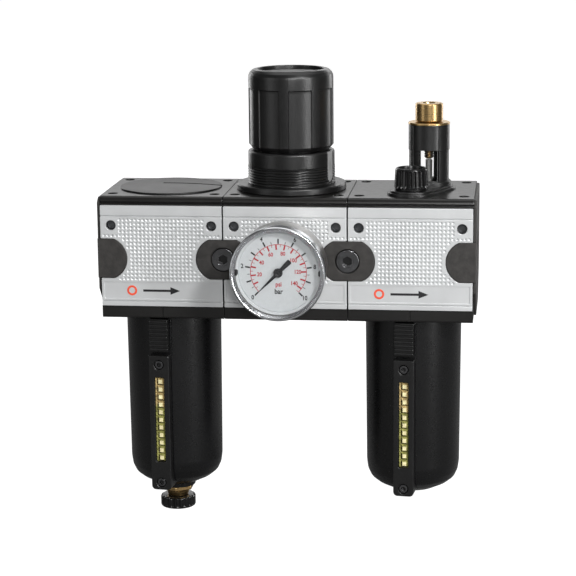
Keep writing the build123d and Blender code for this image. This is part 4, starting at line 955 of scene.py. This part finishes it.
face = lathe("dial", [(0, DIAL_Y), (DIAL_R, DIAL_Y), (DIAL_R, DIAL_Y + 0.3), (DIAL_R + 0.3, DIAL_Y + 0.3),
    (DIAL_R + 0.45, DIAL_Y - 1.3, 0.3), (23.7, DIAL_Y - 1.6, 0.3), (23.7, -64.8), (0, -64.8)], "Y", GAUGE, 144)
stands_for(face, "gauge_dial")


def dial_angle(share):
    """The angle of a share of full scale, over three quarters of a turn from the lower left."""
    return math.radians(225.0 - 270.0 * share)


def ticks(places):
    """Printed ticks: (share of full scale, inner radius, outer radius, width)."""
    bm = bmesh.new()
    for share, r0, r1, width in places:
        t = dial_angle(share)
        along, across = Vector((math.cos(t), math.sin(t))), Vector((-math.sin(t), math.cos(t))) * width / 2
        near, far = along * r0, along * r1
        corners = [near - across, far - across, far + across, near + across]
        low = [bm.verts.new((GX + c.x, DIAL_Y + 0.02, GAUGE_Z + c.y)) for c in corners]
        high = [bm.verts.new((GX + c.x, DIAL_Y - PRINT_H, GAUGE_Z + c.y)) for c in corners]
        bridge(bm, [low, high])
        bm.faces.new(low)
        bm.faces.new(high)
    return to_object("ticks", bm)


def band(r0, r1):
    """A thin printed arc over the whole scale."""
    loop = arc(0, 0, r1, -45, 225, 72) + arc(0, 0, r0, 225, -45, 72)
    return slab("band", shifted(loop, *GAUGE), DIAL_Y - PRINT_H, DIAL_Y + 0.02, "Y", 0.0)


def ring_words(labels, full, r, height):
    return [(str(v), GX + r * math.cos(dial_angle(v / full)), GAUGE_Z + r * math.sin(dial_angle(v / full)),
        height) for v in labels]


FULL_BAR, FULL_PSI = 10.0, 145.0
black = [ticks([(v / FULL_BAR, 15.75, 18.5, 0.85) for v in range(11)] + [((v + 0.5) / FULL_BAR, 15.75, 17.2,
    0.3) for v in range(10)])]
black += lettering("bar", ring_words(range(0, 11, 2), FULL_BAR, 20.2, 2.5) + [("bar", GX, GAUGE_Z - 10.8, 2.9)])
goes_with(joined("gauge_scale_black", black), "gauge_dial", "print_black")
red = [ticks([(v / FULL_PSI, 12.5, 15.2, 0.85) for v in range(10, 141, 10)] + [(v / FULL_PSI, 13.9, 15.3,
    0.26) for v in range(0, 146, 5) if v % 10]), band(15.2, 15.55)]
red += lettering("psi", ring_words(range(20, 141, 20), FULL_PSI, 10.5, 2.25) + [("psi", GX, GAUGE_Z - 6.8, 2.6)])
goes_with(joined("gauge_scale_red", red), "gauge_dial", "print_red")

clips = []
for side in (-1, 1):
    loop = [(side * 23.9, -1.7, 0.2), (side * 23.9, 1.7, 0.2), (side * 22.6, 1.7, 0.5), (side * 22.1, 0.9, 0.4),
        (side * 22.1, -0.9, 0.4), (side * 22.6, -1.7, 0.5)]
    clips.append(slab("clip", shifted(soften(loop)[::side], *GAUGE), -68.6, DIAL_Y - 1.0, "Y", 0.2, 0.0))
goes_with(joined("gauge_window_clips", clips), "gauge_dial", "print_black")

blade = soften([(-0.16, -15.3), (0.16, -15.3), (0.95, -1.5), (1.0, 2.0), (1.45, 8.9, 0.2), (0.9, 9.4, 0.2),
    (-0.9, 9.4, 0.2), (-1.45, 8.9, 0.2), (-1.0, 2.0), (-0.95, -1.5)], steps=2)
needle = slab("needle", blade, -67.75, -67.2, "Y", 0.08)
needle = moved(needle, Matrix.Translation((GX, 0, GAUGE_Z)) @ Matrix.Rotation(math.radians(45), 4, "Y"))
hub = lathe("hub", [(0, -68.3), (0.7, -68.3, 0.1), (0.85, -68.0, 0.1), (2.1, -68.3, 0.25), (2.55, -67.8, 0.3),
    (2.55, -67.0, 0.2), (0.8, -67.0), (0.8, -64.0), (0, -64.0)], "Y", GAUGE, 48)
stands_for(joined("gauge_pointer_needle", [needle, hub]), "gauge_pointer")

stem_loop = rectangle(-STEM_HALF_W, STEM_HALF_W, -STEM_HALF_W, STEM_HALF_W, 1.2)
stem = slab("stem", shifted(stem_loop, *GAUGE), -43.9, -37.5, "Y", 0.5)
neck = lathe("neck", [(0, -44.2), (5.9, -44.2), (5.9, -30.0), (0, -30.0)], "Y", GAUGE, 48)
stands_for(joined("gauge_stem_block", [stem, neck]), "gauge_stem")


# ---------------------------------------------------------------- lubricator head
def teardrop(r_plug, r_dome):
    """The outline round two circles, joined by tangents, counter-clockwise."""
    dx, dy = DOME_X - PLUG_X, DOME_Y - PLUG_Y
    base = math.degrees(math.atan2(dy, dx))
    tilt = math.degrees(math.acos((r_plug - r_dome) / math.hypot(dx, dy)))
    return arc(DOME_X, DOME_Y, r_dome, base - tilt, base + tilt, 40) + arc(PLUG_X, PLUG_Y, r_plug, base + tilt,
        base + 360 - tilt, 48)


low_step = slab("step", teardrop(13.5, 15.2), 36.4, 34.9, "Z", 0.35, 0.0)
high_step = slab("step", teardrop(12.0, 13.6), HEAD_TOP, 36.2, "Z", 0.5, 0.0)
stands_for(joined("head_base_steps", [low_step, high_step]), "head_base")

fill_plug = lathe("fill_plug_fluted", [(0, 37.7), (9.3, 37.7, 0.2), (9.35, 38.9, 0.25), (9.5, 39.1, 0.2),
    (9.05, 48.9, 0.5), (8.5, 50.0, 0.6), (7.5, 50.0, 0.4), (7.2, 47.6), (3.0, 47.6, 0.3), (2.6, 48.2, 0.3),
    (0, 48.2)], "Z", (PLUG_X, PLUG_Y), 288, fluted(24, 0.95, 39.2, 49.0, 9.3), 0.5)
stands_for(fill_plug, "fill_plug", "gloss_black")

guard = lathe("dome_guard_shell", [(8.6, HEAD_TOP - 0.1), (12.6, HEAD_TOP - 0.1), (12.6, 39.6, 0.5),
    (11.9, 40.3, 0.2), (11.3, 40.4), (11.3, 57.3), (11.6, 57.6, 0.1), (11.6, 72.0, 0.3), (8.6, 72.0)], "Z", DOME,
    128)
opening = slab("cut", rectangle(DOME_X - 5.1, DOME_X + 5.1, 40.2, 58.0, 0.7), DOME_Y - 20, DOME_Y + 20, "Y", 0.0)
guard = cut(guard, [opening])
ridges = []
for a in (-58, -137, 43, 122):
    ridge = brick("ridge", 10.8, 12.2, -0.35, 0.35, 40.2, 71.8, 0.2)
    ridges.append(moved(ridge, turned_at(DOME_X, DOME_Y, math.radians(a))))
post = brick("post", DOME_X + 2.2, DOME_X + 5.6, DOME_Y + 8.6, DOME_Y + 10.6, 39.0, 60.0, 0.3)
stands_for(joined("dome_guard_ribbed", [guard, post] + ridges), "dome_guard")

stands_for(lathe("sight_dome_glass", [(0, 61.7), (7.4, 61.7, 0.8), (8.3, 60.4, 0.8), (8.3, 37.7), (7.0, 37.7),
    (7.0, 60.0), (0, 60.0)], "Z", DOME, 72), "sight_dome")
nozzle_path = [(0, 52.2), (1.6, 52.2, 0.2), (2.3, 52.9, 0.2)]
for i in range(5):
    z = 53.2 + 1.3 * i
    nozzle_path += [(2.6, z, 0.1), (2.6, z + 0.75, 0.1), (2.2, z + 0.95), (2.2, z + 1.15)]
nozzle_path += [(3.2, 60.0), (3.2, 62.5), (8.5, 62.5), (8.5, 71.9), (11.5, 71.9), (11.8, 72.15, 0.15),
    (11.8, 72.8, 0.25), (11.4, 73.2, 0.25), (3.4, 73.2, 0.2), (3.4, 70.0), (0, 70.0)]
stands_for(lathe("drip_nozzle_collar", nozzle_path, "Z", DOME, 96, steps=3), "drip_nozzle")
stands_for(lathe("drip_tube_pipe", [(0, 37.6), (1.9, 37.6), (1.95, 51.7, 0.3), (1.2, 51.7, 0.2), (1.1, 50.0),
    (0, 50.0)], "Z", DOME, 40), "drip_tube", "tube_grey")
knob = lathe("drip_screw_knob", [(0, 71.0), (3.2, 71.0), (3.2, 73.5), (7.1, 73.5, 0.3), (7.8, 74.2, 0.4),
    (7.8, 83.4, 0.4), (7.1, 83.9, 0.3), (3.9, 83.9, 0.3), (3.5, 82.3, 0.3), (0, 82.3)], "Z", DOME, 96)
knob = cut(knob, [brick("cut", DOME_X - 3.4, DOME_X + 3.4, DOME_Y - 0.55, DOME_Y + 0.55, 80.9, 83.0, 0.0)])
stands_for(knob, "drip_screw")


# ---------------------------------------------------------------- inner pieces keep their CAD shape
for name, obj in frame["nodes"].items():
    if not obj.hide_render:
        obj.data.materials.clear()
        obj.data.materials.append(LOOK[SLOT_OF[name]])

# each coil that shortens towards its lower end as its joint moves gets a mesh of its own
for joint in record["behaviour"]["joints"]:
    for spring in joint.get("deforming_nodes", []):
        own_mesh(frame["nodes"][spring["node"]])


# ---------------------------------------------------------------- floor, light, camera
WHITE = (1, 1, 1, 1)
FLOOR_R, FLOOR_GAP = 40.0, 0.0002
floor_z = cad_box[0][2]
bm = bmesh.new()
bmesh.ops.create_circle(bm, cap_ends=True, segments=96, radius=FLOOR_R)
bmesh.ops.translate(bm, vec=(0.105, 0.3, floor_z - FLOOR_GAP), verts=bm.verts)
mesh = bpy.data.meshes.new("floor")
bm.to_mesh(mesh)
bm.free()
floor = linked("floor", mesh)
paper = bpy.data.materials.new("paper")
paper.use_nodes = True
nodes, links = paper.node_tree.nodes, paper.node_tree.links
bsdf = nodes["Principled BSDF"]
put(bsdf, Roughness=0.9, Base_Color=(0.22, 0.22, 0.22, 1), Specular_IOR_Level=0.1, Emission_Color=WHITE)
rays = nodes.new("ShaderNodeLightPath")
glow = nodes.new("ShaderNodeMath")
glow.operation = "MULTIPLY"
glow.inputs[1].default_value = 0.98
links.new(rays.outputs["Is Camera Ray"], glow.inputs[0])
links.new(glow.outputs[0], bsdf.inputs["Emission Strength"])
floor.data.materials.append(paper)

world = bpy.data.worlds.new("studio")
bpy.context.scene.world = world
world.use_nodes = True
nodes, links = world.node_tree.nodes, world.node_tree.links
background = nodes["Background"]
put(background, Strength=0.12, Color=WHITE)
seen = nodes.new("ShaderNodeBackground")
put(seen, Strength=1.0, Color=WHITE)
rays = nodes.new("ShaderNodeLightPath")
choice = nodes.new("ShaderNodeMixShader")
links.new(rays.outputs["Is Camera Ray"], choice.inputs["Fac"])
links.new(background.outputs["Background"], choice.inputs[1])
links.new(seen.outputs["Background"], choice.inputs[2])
links.new(choice.outputs["Shader"], nodes["World Output"].inputs["Surface"])

AIM = Vector((0.105, 0.0, -0.02))


def softbox(name, place, size, power):
    """A rectangular light that faces the unit; sizes in metres, power in watts."""
    light = bpy.data.lights.new(name, "AREA")
    light.shape = "RECTANGLE"
    light.size, light.size_y = size
    light.energy = power
    obj = linked(name, light)
    obj.location = place
    obj.rotation_euler = (AIM - Vector(place)).to_track_quat("-Z", "Y").to_euler()


softbox("key", (0.86, -1.05, 0.76), (0.20, 0.20), 17)
softbox("front", (0.36, -1.40, 0.42), (0.16, 0.30), 7)
softbox("side", (1.15, -0.80, 0.05), (0.16, 0.9), 8)
softbox("fill", (-0.95, -0.9, 0.20), (0.5, 0.9), 2)
softbox("top", (0.15, 0.15, 1.1), (1.2, 0.8), 4)
softbox("back", (0.1, 1.4, 0.55), (1.4, 0.4), 4.0)
softbox("rear_left", (-0.8, 1.2, 0.10), (0.4, 0.8), 4)
softbox("rear_right", (1.0, 1.2, 0.10), (0.4, 0.8), 4)

camera = linked("camera", bpy.data.cameras.new("camera"))
CAMERA_PLACE, YAW, PITCH, ROLL = Vector((0.23466, -1.09217, 0.21091)), 6.914, -12.041, 0.579
aim = (Matrix.Rotation(math.radians(YAW), 3, "Z") @ Matrix.Rotation(math.radians(PITCH), 3,
    "X") @ Matrix.Rotation(math.radians(ROLL), 3, "Y"))
right, forward, up = aim.col[0], aim.col[1], aim.col[2]
camera.matrix_world = Matrix.Translation(CAMERA_PLACE) @ Matrix((right, up, -forward)).transposed().to_4x4()
camera.data.sensor_width = 36.0
camera.data.lens = 121.27
camera.data.clip_start = 0.05
camera.data.clip_end = 100.0
bpy.context.scene.camera = camera
bpy.context.scene.view_settings.view_transform = "Standard"
